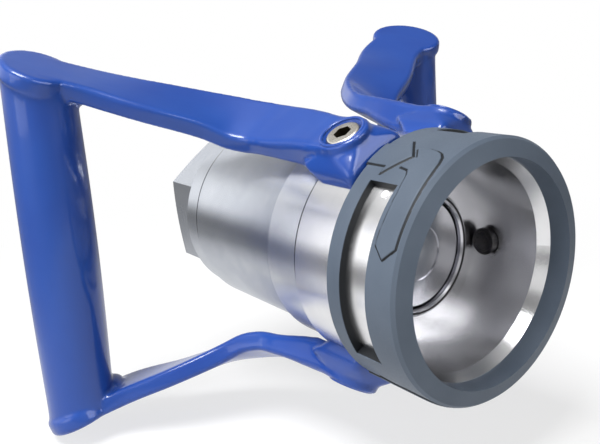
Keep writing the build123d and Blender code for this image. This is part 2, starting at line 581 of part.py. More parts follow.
# Stations of the upper left arm: y, middle against the face's height at the screw, sideways offset, width,
# thickness, twist share
ARM_STATIONS = [
    (43.0, -5.4, 0.0, 21.0, 10.4, 0.0),
    (62.0, -5.1, 0.0, 31.4, 10.4, 0.0),
    (95.0, -2.5, 0.0, 33.7, 10.9, 0.0),
    (122.4, -3.4, 4.0, 36.4, 11.9, -0.1),
    (140.9, 2.2, 8.0, 39.0, 12.2, 0.16),
    (158.1, 12.8, 16.9, 41.3, 13.4, 0.53),
    (181.9, 43.2, 42.4, 45.2, 11.2, 0.83),
    (208.0, 72.7, 66.6, 44.9, 11.2, 1.0)]
ARM_SECTION_COUNT = 15
# Stations across the oval cap: distance from its centre along the arm, width, thickness
CAP_STATIONS = [
    (-14.0, 46.5, 12.4), (-7.0, 54.0, 12.8), (0.0, 57.0, 13.0), (8.0, 53.8, 12.8), (14.5, 45.5, 12.0),
    (19.5, 33.5, 10.4), (22.5, 20.0, 7.6), (23.6, 9.0, 5.0)]


def between(values, share):
    """Value at a share of the way through a list of evenly weighted values, joined smoothly."""
    place = share * (len(values) - 1)
    k = min(int(place), len(values) - 2)
    t = place - k
    before = values[max(k - 1, 0)]
    after = values[min(k + 2, len(values) - 1)]
    a, b = values[k], values[k + 1]
    slope_a, slope_b = (b - before) / 2, (after - a) / 2
    return (a * (1 + 2 * t) + slope_a * t) * (1 - t) ** 2 + (b * (3 - 2 * t) + slope_b * (t - 1)) * t ** 2


def cap_centre():
    """Middle of the cap on the upper end of the left grip."""
    return arm_point(CAP_Y, ARM_FACE_H + CAP_RISE, CAP_SIDE)


def arm_sections():
    """Rounded strap sections along the arm, turned from the boss's tilt to the cap's."""
    t = radians(ARM_TILT)
    start_width = Vector(cos(t), 0, sin(t))
    end_width = Vector(*CAP_ACROSS)
    stations = [(y, ARM_FACE_H + rise, *rest) for y, rise, *rest in ARM_STATIONS]
    columns = list(zip(*stations))
    sections = []
    for k in range(ARM_SECTION_COUNT):
        share = k / (ARM_SECTION_COUNT - 1)
        y, height, side, width, thick, twist = [between(column, share) for column in columns]
        ahead = [between(column, min(share + 0.01, 1)) for column in columns[:3]]
        behind = [between(column, max(share - 0.01, 0)) for column in columns[:3]]
        along = (arm_point(*ahead) - arm_point(*behind)).normalized()
        across = start_width * (1 - twist) + end_width * twist
        sections.append(strap_section(arm_point(y, height, side), along, across, width, thick))
    centre = cap_centre()
    along = (centre - arm_point(*stations[-1][:3])).normalized()
    for distance, width, thick in CAP_STATIONS:
        sections.append(strap_section(centre + along * distance, along, end_width, width, thick))
    return sections


def strap_section(centre, along, across, width, thick):
    """Rounded rectangle square to the strap's run, its long side as near to a direction as it can be."""
    across = across - along * across.dot(along)
    plane = Plane(origin=centre, x_dir=across, z_dir=along)
    return plane * RectangleRounded(width, thick, thick * ARM_CORNER_SHARE)


def arm_plan(y0, y1, half_width, height, corner):
    """Rounded rectangle in the upper left arm's frame, at a height along the screw line."""
    t = radians(ARM_TILT)
    outward = Vector(-sin(t), 0, cos(t))
    middle = arm_point((y0 + y1) / 2, height, 0)
    plane = Plane(origin=middle, x_dir=(0, 1, 0), z_dir=outward)
    return plane * RectangleRounded(y1 - y0, 2 * half_width, corner)


def build_boss():
    """Tapered block that fills the space between the strap and the bell."""
    rear = BOSS_FRONT_Y + BOSS_LENGTH
    sections = [
        arm_plan(BOSS_FRONT_Y, rear + 2 * BOSS_TAPER, BOSS_HALF_WIDTH + BOSS_TAPER, BOSS_BOTTOM_H,
                 BOSS_CORNER),
        arm_plan(BOSS_FRONT_Y, rear + BOSS_TAPER, BOSS_HALF_WIDTH, NOSE_TIP_H, BOSS_CORNER),
        arm_plan(BOSS_FRONT_Y, rear - BOSS_TAPER, BOSS_TOP_HALF_WIDTH, BOSS_TOP_H, BOSS_CORNER)]
    return loft(sections, ruled=True)


def nose_cut():
    """Wedge that slopes the arm's front end down to the bumper's back."""
    t = radians(ARM_TILT)
    side_view = Plane(origin=(0, 0, 0), x_dir=(0, 1, 0), z_dir=(cos(t), 0, sin(t)))
    slope = (ARM_FACE_H - NOSE_TIP_H) / NOSE_SLOPE_LENGTH
    low = NOSE_TIP_H - NOSE_CUT_LENGTH * slope
    high = NOSE_TIP_H + NOSE_CUT_LENGTH * slope
    start, end = BOSS_FRONT_Y - NOSE_CUT_LENGTH, BOSS_FRONT_Y + NOSE_CUT_LENGTH
    corners = [(start, low), (end, high), (start, high)]
    return extrude(side_view * make_face(Polyline(*corners, close=True)), BOSS_HALF_WIDTH * 2, both=True)


def build_grip():
    """Upright oval bar, a little fuller in the middle."""
    turn = radians(GRIP_TURN)
    cap = cap_centre()
    half_length = cap.Z - GRIP_END_SINK
    sections = []
    for k in range(-2, 3):
        swell = 1 + (GRIP_BULGE - 1) * cos(k * pi / 4)
        plane = Plane(origin=(cap.X, cap.Y, half_length * k / 2), x_dir=(cos(turn), sin(turn), 0),
                      z_dir=(0, 0, 1))
        sections.append(plane * Ellipse(GRIP_HALF_LONG * swell, GRIP_HALF_SHORT * swell))
    return loft(sections)


def build_left_handle():
    """One casting: two arms with their bosses and caps, and the grip between them."""
    angle = 90 + ARM_TILT
    rim_r = COUNTERBORE_R + COUNTERBORE_RIM
    arm = loft(arm_sections()) + build_boss() - nose_cut()
    arm += radial_bar(angle, SCREW_Y, rim_r, NOSE_TIP_H, ARM_FACE_H + COUNTERBORE_LIP)
    arm -= radial_bar(angle, SCREW_Y, COUNTERBORE_R, ARM_FACE_H - COUNTERBORE_DEPTH,
                      ARM_FACE_H + COUNTERBORE_DEPTH)
    arm -= radial_bar(angle, SCREW_Y, SCREW_R + SCREW_CLEARANCE, SCREW_BOTTOM_R, ARM_FACE_H)
    arm -= disc(BELL_OUTER_R, 0, BARREL_REAR_Y)
    return build_grip() + arm + mirror(arm, Plane.XY)


def build_handle_screws():
    """Button head screws with a hexagon socket."""
    head_y = ARM_FACE_H - COUNTERBORE_DEPTH
    top = head_y + SCREW_HEAD_T
    rise = SCREW_HEAD_T * 0.45
    profile = Polyline((0, SCREW_BOTTOM_R), (SCREW_R, SCREW_BOTTOM_R), (SCREW_R, head_y),
                       (SCREW_HEAD_R, head_y), (SCREW_HEAD_R, head_y + SCREW_HEAD_EDGE))
    shoulder_r = (SCREW_HEAD_R + SCREW_TOP_R) / 2 + 0.9
    dome = ThreePointArc((SCREW_HEAD_R, head_y + SCREW_HEAD_EDGE),
                         (shoulder_r, head_y + SCREW_HEAD_EDGE + rise), (SCREW_TOP_R, top))
    lid = Polyline((SCREW_TOP_R, top), (0, top), (0, SCREW_BOTTOM_R))
    screw = revolve(make_face(profile + dome + lid), Axis.Y, 360)
    socket = Plane(origin=(0, top, 0), x_dir=(1, 0, 0), z_dir=(0, 1, 0)) * hexagon(SCREW_SOCKET_FLATS)
    screw -= extrude(socket, -SCREW_SOCKET_DEPTH)
    screws = []
    for angle in screw_angles():
        seat = radial_plane(angle, 0, SCREW_Y)
        upright = Plane(origin=seat.origin, x_dir=seat.x_dir, z_dir=seat.z_dir) * Rot(X=90)
        screws.append(upright * screw)
    return screws


def export_node(name, shape):
    """Write one node's STEP file, as a compound when it holds several solids."""
    if isinstance(shape, list):
        shape = Compound(children=shape)
    export_step(shape, os.path.join(PARTS_FOLDER, name + ".step"))


def main():
    os.makedirs(PARTS_FOLDER, exist_ok=True)
    export_node("bell_housing", build_bell_housing())
    export_node("bumper_ring", build_bumper_ring())
    export_node("locating_pin", build_locating_pin())
    for k, angle in enumerate(roller_angles()):
        export_node(f"cam_roller_{k + 1}", build_cam_roller(angle))
    export_node("roller_pins", build_roller_pins())
    export_node("mouth_wiper", build_mouth_wiper())
    export_node("swivel_barrel", build_swivel_barrel())
    export_node("swivel_bearing_rings", build_swivel_bearing_rings())
    export_node("locking_wire", build_locking_wire())
    export_node("thrust_washer", build_thrust_washer())
    export_node("swivel_dust_seal", build_swivel_dust_seal())
    export_node("sleeve_seal", build_sleeve_seal())
    export_node("valve_sleeve", build_valve_sleeve())
    export_node("face_seal", build_face_seal())
    export_node("sleeve_guide_ring", build_sleeve_guide_ring())
    export_node("poppet", build_poppet())
    export_node("poppet_seal", build_poppet_seal())
    export_node("spider", build_spider())
    export_node("stem_washer", build_stem_washer())
    export_node("stem_nut", build_stem_nut())
    export_node("return_spring", build_return_spring())
    export_node("hose_end_adapter", build_hose_end_adapter())
    export_node("adapter_seal", build_adapter_seal())
    export_node("hose_gasket", build_hose_gasket())
    left_handle = build_left_handle()
    export_node("left_handle", left_handle)
    export_node("right_handle", mirror(left_handle, Plane.YZ))
    export_node("handle_screws", build_handle_screws())


main()
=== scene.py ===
# %% [markdown]
# # Dry break coupling, hose half
# The object is one half of a coupling for hoses: a polished bell, a grey bumper ring, two blue D handles and
# a machined barrel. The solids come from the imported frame, and this file gives them light, finishes and the
# fine forms that a solid model leaves out. Blender works in metres. Shapes are written here in millimetres,
# as on a drawing, and MM turns them to metres where they become a mesh or a shader's value. The camera, the
# floor and the lamps are given in metres.

# %% Load the frame
import bmesh
import bpy
import math
import numpy as np
from mathutils import Matrix, Vector


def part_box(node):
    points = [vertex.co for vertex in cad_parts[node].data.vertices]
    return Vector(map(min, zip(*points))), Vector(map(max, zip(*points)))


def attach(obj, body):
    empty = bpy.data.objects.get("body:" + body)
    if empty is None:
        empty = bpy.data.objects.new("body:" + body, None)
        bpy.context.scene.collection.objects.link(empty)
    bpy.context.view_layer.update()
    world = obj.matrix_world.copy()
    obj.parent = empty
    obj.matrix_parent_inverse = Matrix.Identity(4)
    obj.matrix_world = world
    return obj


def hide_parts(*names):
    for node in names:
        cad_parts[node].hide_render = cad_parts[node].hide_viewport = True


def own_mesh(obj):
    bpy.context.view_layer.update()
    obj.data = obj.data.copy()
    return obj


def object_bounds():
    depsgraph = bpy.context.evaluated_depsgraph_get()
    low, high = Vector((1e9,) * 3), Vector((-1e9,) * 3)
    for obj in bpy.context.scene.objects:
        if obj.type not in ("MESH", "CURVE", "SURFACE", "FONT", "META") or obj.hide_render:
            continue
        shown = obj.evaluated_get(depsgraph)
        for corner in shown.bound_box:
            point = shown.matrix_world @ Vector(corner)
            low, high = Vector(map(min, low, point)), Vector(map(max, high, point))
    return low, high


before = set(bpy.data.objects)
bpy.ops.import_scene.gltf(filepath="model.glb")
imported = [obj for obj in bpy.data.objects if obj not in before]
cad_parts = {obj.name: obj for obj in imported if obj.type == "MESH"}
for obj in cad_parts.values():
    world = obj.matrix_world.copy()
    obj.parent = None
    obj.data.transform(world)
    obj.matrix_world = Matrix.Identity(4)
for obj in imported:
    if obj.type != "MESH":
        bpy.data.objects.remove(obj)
cad_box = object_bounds()
MM = 0.001

# %% [markdown]
# ## Camera
# The camera was fitted to circles of the coupling in the photograph, so its place and turn are known in the
# coupling's own frame. It is written as a place and two directions, which is easier to check than angles.

# %% Camera
CAMERA_PLACE = (-0.3128, -0.2625, 0.1388)
CAMERA_RIGHT = (0.797, -0.602, -0.050)
CAMERA_AHEAD = (0.572, 0.779, -0.258)
FOCAL_PIXELS, IMAGE_WIDTH = 765.4, 600
SENSOR_WIDTH_MM = 36.0
CLIP_NEAR, CLIP_FAR = 0.01, 20.0


def make_camera():
    """Camera whose own axes are right, up and minus ahead. Right is first made square to ahead, and the lens
    is the focal length in pixels as a share of the picture's width, times the sensor's width."""
    ahead = Vector(CAMERA_AHEAD).normalized()
    right = Vector(CAMERA_RIGHT)
    right = (right - ahead * right.dot(ahead)).normalized()
    data = bpy.data.cameras.new("camera")
    data.sensor_width = SENSOR_WIDTH_MM
    data.lens = FOCAL_PIXELS / IMAGE_WIDTH * SENSOR_WIDTH_MM
    data.clip_start, data.clip_end = CLIP_NEAR, CLIP_FAR
    camera = bpy.data.objects.new("camera", data)
    bpy.context.collection.objects.link(camera)
    turn = Matrix((right, right.cross(ahead), -ahead)).transposed().to_4x4()
    camera.matrix_world = Matrix.Translation(CAMERA_PLACE) @ turn
    bpy.context.scene.camera = camera
    return camera


camera = make_camera()
print("lens", round(camera.data.lens, 2), "mm")

# %% [markdown]
# ## One way to add a shader node
# All finishes are built from nodes. One function adds a node with its settings and its links. Another turns
# the hex colours that people read off a chart into the linear values that Blender works in.

# %% Node helpers
# Blender's noise runs from 0 to 1 but keeps mostly between these two values
NOISE_LOW, NOISE_HIGH = 0.3, 0.7


def linear(hex_colour):
    """Linear RGBA of an sRGB hex colour: below 0.04045 a straight line, above it a power of 2.4."""
    values = [int(hex_colour[k:k + 2], 16) / 255 for k in (1, 3, 5)]
    return tuple(v / 12.92 if v <= 0.04045 else ((v + 0.055) / 1.055) ** 2.4 for v in values) + (1.0,)


def set_inputs(tree, node, **inputs):
    """Gives sockets of a node what they read: a value, another node's socket, or a node, which stands for its
    first output. A socket is named, with _ for a space, or it is i and its number."""
    for name, value in inputs.items():
        numbered = name[0] == "i" and name[1:].isdigit()
        socket = node.inputs[int(name[1:]) if numbered else name.replace("_", " ")]
        source = value.outputs[0] if isinstance(value, bpy.types.Node) else value
        if isinstance(source, bpy.types.NodeSocket):
            tree.links.new(source, socket)
        else:
            socket.default_value = source


def add_node(tree, kind, settings=None, stops=(), **inputs):
    """Adds one node. settings are its properties, stops are the (position, colour) pairs of its colour ramp,
    and the inputs are as in set_inputs."""
    node = tree.nodes.new(kind)
    for name, value in (settings or {}).items():
        setattr(node, name, value)
    # A new ramp has two stops already
    for _ in stops[2:]:
        node.color_ramp.elements.new(0.5)
    for k, (position, colour) in enumerate(stops):
        node.color_ramp.elements[k].position = position
        node.color_ramp.elements[k].color = colour
    set_inputs(tree, node, **inputs)
    return node


def start_material(name, **shader):
    """A material with a Principled shader whose sockets are given by name, with its tree, its shader and the
    piece's own coordinates in metres."""
    material = bpy.data.materials.new(name)
    material.use_nodes = True
    tree = material.node_tree
    principled = tree.nodes["Principled BSDF"]
    set_inputs(tree, principled, **shader)
    return material, tree, principled, add_node(tree, "ShaderNodeTexCoord").outputs["Object"]


print("a mid grey, #808080, is", round(linear("#808080")[0], 4), "in linear light")

# %% [markdown]
# ## Places on the coupling
# Most pieces are round about one axis, so a finish is easiest to place by two lengths: the radius, which is
# the distance from the axis, and the station, which is the place along it. A short colour ramp of either one
# can then darken a joint with dirt and painted shade, paint shade into a bore or paint a highlight on an
# edge.

# %% Radius, station and tints


def radius_and_station(tree, where):
    """The radius is the length of the coordinates with their middle one left out. The station is that one."""
    split = add_node(tree, "ShaderNodeSeparateXYZ", i0=where)
    flat = add_node(tree, "ShaderNodeCombineXYZ", i0=split.outputs["X"], i2=split.outputs["Z"])
    length = add_node(tree, "ShaderNodeVectorMath", {"operation": "LENGTH"}, i0=flat)
    return length.outputs["Value"], split.outputs["Y"]


def tinted(tree, base, measure, tint):
    """Colour times a ramp of a length, for a part that is finished or soiled in another way, or that carries
    painted shade or a painted highlight. tint is a row of (millimetres, hex colour)."""
    low, high = tint[0][0], tint[-1][0]
    stops = [((at - low) / (high - low), linear(colour)) for at, colour in tint]
    share = add_node(tree, "ShaderNodeMapRange", i0=measure, i1=low * MM, i2=high * MM)
    colour = add_node(tree, "ShaderNodeValToRGB", stops=stops, i0=share)
    settings = {"data_type": "RGBA", "blend_type": "MULTIPLY"}
    return add_node(tree, "ShaderNodeMix", settings, i0=1.0, i6=base, i7=colour).outputs[2]


print("helpers for places:", radius_and_station.__name__, "and", tinted.__name__)

# %% [markdown]
# ## Turned aluminium
# The barrel is turned from aluminium. A lathe tool leaves fine rings that spread a reflection along the axis
# and keep it narrow round it, so the barrel shows long soft streaks. The shader's anisotropy does that, with
# its long side laid along the axis. Handling leaves faint cloudy stains. The bell is polished after turning.
# Short tints of the base colour lay dirt and painted shade in the joint behind the bell, painted shade in the
# groove and the bore, a darker band where the adapter starts and a painted highlight on the ring's edge.

# %% Aluminium finishes
# The real rings are about 0.1 mm apart, too fine to show, so they are drawn 0.8 mm apart
RING_PITCH_MM, RING_DEPTH_MM = 0.8, 0.0005
STAIN_MM = 34.0
# Dirt and painted shade in the joint behind the bell on the barrel, and painted shade with a dark painted
# reflection on the bell's rear edge
JOINT_DIRT_AND_SHADE = [(75.9, "#FFFFFF"), (76.0, "#4A4A4F"), (79.6, "#4A4A4F"), (80.0, "#FFFFFF")]
BELL_EDGE_SHADE = [(75.0, "#FFFFFF"), (75.2, "#3A3A3F")]
# The barrel is darker behind its bright ring, and a painted highlight lines the ring's rear edge
RING_HIGHLIGHT_AND_DARK_BARREL = [(106.9, "#EDEEF0"), (107.1, "#FFFFFF"), (107.6, "#FFFFFF"), (107.9, "#CDD0D6")]
# Darker where the adapter starts, and painted shade in the adapter's groove
ADAPTER_START_DARK = [(198.6, "#FFFFFF"), (198.9, "#5A5A60"), (203.4, "#5A5A60"), (203.8, "#FFFFFF")]
GROOVE_SHADE = [(216.6, "#FFFFFF"), (217.2, "#6A6A70"), (220.8, "#6A6A70"), (221.4, "#FFFFFF")]
# The bore of the bell is painted darker than its lead-in and its outside: painted shade in the bore
BORE_SHADE = [(59.7, "#E2E2E4"), (59.9, "#FFFFFF")]


def make_turned_metal(name, colour, dull_colour, roughness, spread, uneven=0.02, pitch_mm=RING_PITCH_MM,
                      depth_mm=RING_DEPTH_MM, by_station=(), by_radius=()):
    """Metal with a reflection spread along the axis, lathe rings in its bump and cloudy stains. The rings are
    noise of the radius and the station alone, so they are the same all round the piece. uneven is how far
    the roughness strays from its middle."""
    material, tree, principled, where = start_material(
        name, Metallic=1.0, Roughness=roughness, Anisotropic=spread, Anisotropic_Rotation=0.25)
    cloud = add_node(tree, "ShaderNodeTexNoise", i0=where, Scale=1000 / STAIN_MM, Detail=5.0, Roughness=0.6)
    stops = [(NOISE_LOW, linear(dull_colour)), (NOISE_HIGH, linear(colour))]
    base = add_node(tree, "ShaderNodeValToRGB", stops=stops, i0=cloud)
    radius, station = radius_and_station(tree, where)
    for tint in by_station:
        base = tinted(tree, base, station, tint)
    for tint in by_radius:
        base = tinted(tree, base, radius, tint)
    both = add_node(tree, "ShaderNodeCombineXYZ", i0=radius, i1=station)
    rings = add_node(tree, "ShaderNodeTexNoise", i0=both, Scale=1000 / pitch_mm, Detail=5.0, Roughness=0.65)
    mixed = add_node(tree, "ShaderNodeMath", {"operation": "ADD"}, i0=rings, i1=cloud)
    rough = add_node(tree, "ShaderNodeMapRange", i0=mixed, i1=2 * NOISE_LOW, i2=2 * NOISE_HIGH,
                     i3=roughness + uneven, i4=roughness - uneven)
    raised = add_node(tree, "ShaderNodeBump", Height=rings, Strength=0.5, Distance=depth_mm * MM)
    tangent = add_node(tree, "ShaderNodeTangent", {"direction_type": "RADIAL", "axis": "Y"})
    set_inputs(tree, principled, Base_Color=base, Roughness=rough, Normal=raised, Tangent=tangent)
    return material


# Turned and left as it is: long soft streaks
satin_aluminium = make_turned_metal(
    "satin_turned_aluminium", "#F6F7F8", "#E6E8EB", roughness=0.26, spread=0.85,
    by_station=(JOINT_DIRT_AND_SHADE, RING_HIGHLIGHT_AND_DARK_BARREL, ADAPTER_START_DARK, GROOVE_SHADE))
# Turned, then polished with a cloth: brighter, with shorter streaks
polished_aluminium = make_turned_metal(
    "polished_aluminium", "#F4F4F5", "#E4E4E6", roughness=0.24, spread=0.75,
    by_station=(BELL_EDGE_SHADE,), by_radius=(BORE_SHADE,))
# Stainless valve parts: darker and closer to a mirror, with their rings drawn 0.6 mm apart
polished_steel = make_turned_metal(
    "polished_stainless_steel", "#D2D2D6", "#BFBFC6", roughness=0.17, spread=0.4, uneven=0.03,
    pitch_mm=0.6, depth_mm=0.001)
print("turned finishes:", satin_aluminium.name, polished_aluminium.name, polished_steel.name)

# %% [markdown]
# ## Steel fasteners, rollers and spring
# The screws are stainless steel, left bright and a little dull from handling. The rollers are hardened steel
# with a dark oiled skin. The spring is drawn wire. All share one recipe: a colour that drifts to a worn one
# in patches, and a grain that scatters the reflection a little.

# %% Steel finishes
WORN_PATCH_MM = 9.0
# The real grain is finer than 0.1 mm, so it is drawn coarser to show
STEEL_GRAIN_MM, STEEL_GRAIN_DEPTH_MM = 0.5, 0.01


def make_steel(name, colour, worn_colour, roughness, grain_mm=STEEL_GRAIN_MM):
    """Metal whose colour drifts towards a worn one in patches, with a fine grain in its bump."""
    material, tree, principled, where = start_material(name, Metallic=1.0)
    patches = add_node(tree, "ShaderNodeTexNoise", i0=where, Scale=1000 / WORN_PATCH_MM, Detail=4.0)
    base = add_node(tree, "ShaderNodeValToRGB", stops=[(0.35, linear(colour)), (0.75, linear(worn_colour))],
                    i0=patches)
    grain = add_node(tree, "ShaderNodeTexNoise", i0=where, Scale=1000 / grain_mm, Detail=2.0)
    rough = add_node(tree, "ShaderNodeMapRange", i0=grain, i1=NOISE_LOW, i2=NOISE_HIGH, i3=roughness - 0.06,
                     i4=roughness + 0.08)
    raised = add_node(tree, "ShaderNodeBump", Height=grain, Strength=0.5,
                      Distance=STEEL_GRAIN_DEPTH_MM * MM)
    set_inputs(tree, principled, Base_Color=base, Roughness=rough, Normal=raised)
    return material


# Stainless screw heads look warm beside the aluminium, and their sockets are brown with old grease and
# painted shade
screw_steel = make_steel("stainless_screw_steel", "#E2DED6", "#CFC9BD", roughness=0.30)
socket_grease_and_shade_steel = make_steel("grimy_shaded_socket_steel", "#4E483D", "#3E392F", roughness=0.45)
# The locating pin's steel is pure white: a painted highlight that makes its end a white dot
pin_highlight_steel = make_steel("pin_painted_highlight_steel", "#FFFFFF", "#F2F2F2", roughness=0.5)
# Oiled rollers are nearly black with a soft shine
dark_steel = make_steel("oiled_black_steel", "#4A4A4E", "#5E5C5A", roughness=0.30, grain_mm=0.6)
# The spring's wire is grey and satin. The locking wire, the stem's washer and its nut are bright
wire_steel = make_steel("drawn_spring_wire", "#8E8E92", "#7C7C80", roughness=0.30)
plain_steel = make_steel("bright_steel", "#E4E4E4", "#D2D2D0", roughness=0.18)
print("steel finishes:", [steel.name for steel in (screw_steel, socket_grease_and_shade_steel, pin_highlight_steel, dark_steel)])

# %% [markdown]
# ## Bumper, seals and bearing plastic
# The bumper is cast polyurethane: matte, a little waxy, slate grey. Painted shade darkens its windows and the
# steps round its raised marks: what lies deeper than a given radius between two stations is dark. The seals
# are nitrile rubber, and the bearing rings are white acetal.

# %% Soft finishes
SOFT_PATCH_MM = 30.0
# Colour of the painted shade, and how far it fades beyond the stations and below the radius
RECESS_SHADE_COLOUR = "#15181C"
SHADE_SIDE_FADE_MM, SHADE_DEPTH_FADE_MM = 0.1, 0.3


def make_moulded(name, colour, second_colour, roughness, grain_mm, depth_mm, ior, recess=None):
    """Moulded rubber or plastic: two near colours in soft patches and a fine grain, drawn coarser than the
    real 0.2 mm so that it shows. recess is (radius, first station, last station) of painted shade: a point is
    unshaded where it lies above the radius or away from the stations."""
    material, tree, principled, where = start_material(name, IOR=ior, Specular_IOR_Level=0.3)
    patches = add_node(tree, "ShaderNodeTexNoise", i0=where, Scale=1000 / SOFT_PATCH_MM, Detail=3.0)
    stops = [(NOISE_LOW, linear(colour)), (NOISE_HIGH, linear(second_colour))]
    base = add_node(tree, "ShaderNodeValToRGB", stops=stops, i0=patches)
    # Painted shade: dark below the radius between the two stations
    if recess is not None:
        depth, first, last = recess
        middle, reach = (first + last) / 2 * MM, (last - first) / 2 * MM
        radius, station = radius_and_station(tree, where)
        away = add_node(tree, "ShaderNodeMath", {"operation": "SUBTRACT"}, i0=station, i1=middle)
        away = add_node(tree, "ShaderNodeMath", {"operation": "ABSOLUTE"}, i0=away)
        beyond = add_node(tree, "ShaderNodeMapRange", i0=away, i1=reach, i2=reach + SHADE_SIDE_FADE_MM * MM)
        shallow = add_node(tree, "ShaderNodeMapRange", i0=radius, i1=(depth - SHADE_DEPTH_FADE_MM) * MM,
                           i2=depth * MM)
        unshaded = add_node(tree, "ShaderNodeMath", {"operation": "MAXIMUM"}, i0=beyond, i1=shallow)
        base = add_node(tree, "ShaderNodeMix", {"data_type": "RGBA"}, i0=unshaded, i6=linear(RECESS_SHADE_COLOUR),
                        i7=base).outputs[2]
    grain = add_node(tree, "ShaderNodeTexNoise", i0=where, Scale=1000 / grain_mm, Detail=3.0)
    rough = add_node(tree, "ShaderNodeMapRange", i0=grain, i1=NOISE_LOW, i2=NOISE_HIGH, i3=roughness - 0.05,
                     i4=roughness + 0.06)
    raised = add_node(tree, "ShaderNodeBump", Height=grain, Strength=0.5, Distance=depth_mm * MM)
    set_inputs(tree, principled, Base_Color=base, Roughness=rough, Normal=raised)
    return material


# Slate grey with a wide, weak shine. Painted shade round the marks reaches a larger radius than in the ring
BUMPER_FINISH = {
    "colour": "#495360", "second_colour": "#515B68", "roughness": 0.52, "grain_mm": 0.8, "depth_mm": 0.02,
    "ior": 1.50}
polyurethane = make_moulded("cast_polyurethane", recess=(74.8, 10.0, 30.4), **BUMPER_FINISH)
marked_polyurethane = make_moulded("cast_polyurethane_mark", recess=(75.8, -40.0, 80.0), **BUMPER_FINISH)
# Rubber is black and dull, and acetal is milky with a soft shine
nitrile = make_moulded(
    "nitrile_rubber", "#1B1B1D", "#232326", roughness=0.55, grain_mm=0.7, depth_mm=0.02, ior=1.52)
acetal = make_moulded("acetal", "#E4E1D6", "#DAD7CC", roughness=0.35, grain_mm=1.0, depth_mm=0.01, ior=1.48)
print("soft finishes:", polyurethane.name, marked_polyurethane.name, nitrile.name, acetal.name)

# %% [markdown]
# ## Blue enamel on the cast handles
# The handles are sand-cast aluminium under gloss enamel. The casting's slow waves show through the paint as
# wandering highlights, and a fine orange peel breaks them up. The clear top of the paint is a coat over the
# colour, and waves and peel bend both.

# %% Blue enamel
PAINT_PATCH_MM = 45.0
WAVE_MM, WAVE_DEPTH_MM = 14.0, 0.25
PEEL_MM, PEEL_DEPTH_MM = 2.2, 0.03


def make_enamel(name, colour, deep_colour):
    """Gloss paint: a coat over a coloured base, with waves of the casting and orange peel in the bump."""
    material, tree, principled, where = start_material(
        name, Roughness=0.36, IOR=1.5, Specular_IOR_Level=0.25, Coat_Weight=0.5, Coat_Roughness=0.07,
        Coat_IOR=1.5)
    patches = add_node(tree, "ShaderNodeTexNoise", i0=where, Scale=1000 / PAINT_PATCH_MM, Detail=2.0)
    stops = [(NOISE_LOW, linear(colour)), (NOISE_HIGH, linear(deep_colour))]
    base = add_node(tree, "ShaderNodeValToRGB", stops=stops, i0=patches)
    waves = add_node(tree, "ShaderNodeTexNoise", i0=where, Scale=1000 / WAVE_MM, Detail=1.0)
    wavy = add_node(tree, "ShaderNodeBump", Height=waves, Strength=0.5, Distance=WAVE_DEPTH_MM * MM)
    peel = add_node(tree, "ShaderNodeTexNoise", i0=where, Scale=1000 / PEEL_MM, Detail=1.0)
    peeled = add_node(tree, "ShaderNodeBump", Height=peel, Strength=0.25, Distance=PEEL_DEPTH_MM * MM,
                      Normal=wavy)
    set_inputs(tree, principled, Base_Color=base, Normal=peeled, Coat_Normal=peeled)
    return material


# A deep royal blue, wet to the eye, with small bright highlights
blue_enamel = make_enamel("gloss_blue_enamel", "#1C4492", "#193D8A")
print("paint:", blue_enamel.name)

# %% [markdown]
# ## A finish for every node
# The solids keep their own meshes. Each gets one material here, also those that later cells replace, so that
# none is left bare.

# %% Finishes of the solids
FINISH_OF = {
    "bell_housing": polished_aluminium, "bumper_ring": polyurethane, "locating_pin": pin_highlight_steel,
    "left_handle": blue_enamel, "right_handle": blue_enamel, "handle_screws": screw_steel,
    "cam_roller_1": dark_steel, "cam_roller_2": dark_steel, "cam_roller_3": dark_steel,
    "roller_pins": dark_steel, "mouth_wiper": nitrile, "swivel_barrel": satin_aluminium,
    "swivel_bearing_rings": acetal, "locking_wire": plain_steel, "thrust_washer": acetal,
    "swivel_dust_seal": nitrile, "sleeve_seal": nitrile, "valve_sleeve": polished_steel,
    "face_seal": nitrile, "sleeve_guide_ring": acetal, "poppet": polished_steel, "poppet_seal": nitrile,
    "spider": satin_aluminium, "stem_washer": plain_steel, "stem_nut": plain_steel,
    "return_spring": wire_steel, "hose_end_adapter": satin_aluminium, "adapter_seal": nitrile,
    "hose_gasket": nitrile}
for node_name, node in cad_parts.items():
    node.data.materials.clear()
    node.data.materials.append(FINISH_OF[node_name])
print("finished nodes:", len(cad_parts))

# %% [markdown]
# ## Surfaces from numpy
# A surface is worked out as a grid of points: rows along a path, columns round a section. The first helpers
# turn such a grid into a closed mesh. Where the rows have two ends, each end is closed with one flat face, so
# the result can be joined, remeshed or cut like a solid.

# %% Grid to mesh
# Points nearer than a thousandth of a millimetre become one
MERGE_MM = 0.001


def mesh_object(name, points, faces):
    """Smooth object at the origin from points in millimetres and a list of faces."""
    mesh = bpy.data.meshes.new(name)
    mesh.from_pydata((np.asarray(points) * MM).tolist(), [], faces, shade_flat=False)
    mesh.validate()
    obj = bpy.data.objects.new(name, mesh)
    bpy.context.collection.objects.link(obj)
    return obj


def grid_faces(rows, columns, close_rows=False):
    """Quads between neighbouring rows and columns. Columns wrap round, and rows do where close_rows says."""
    last = rows if close_rows else rows - 1
    i, j = np.meshgrid(np.arange(last), np.arange(columns), indexing="ij")
    next_i, next_j = (i + 1) % rows, (j + 1) % columns
    corners = [i * columns + j, i * columns + next_j, next_i * columns + next_j, next_i * columns + j]
    return np.stack(corners, -1).reshape(-1, 4).tolist()


def outward(obj):
    """Merges doubles on a closed mesh and turns every face outwards."""
    work = bmesh.new()
    work.from_mesh(obj.data)
    bmesh.ops.remove_doubles(work, verts=work.verts, dist=MERGE_MM * MM)
    bmesh.ops.recalc_face_normals(work, faces=work.faces)
    work.to_mesh(obj.data)
    work.free()
    return obj


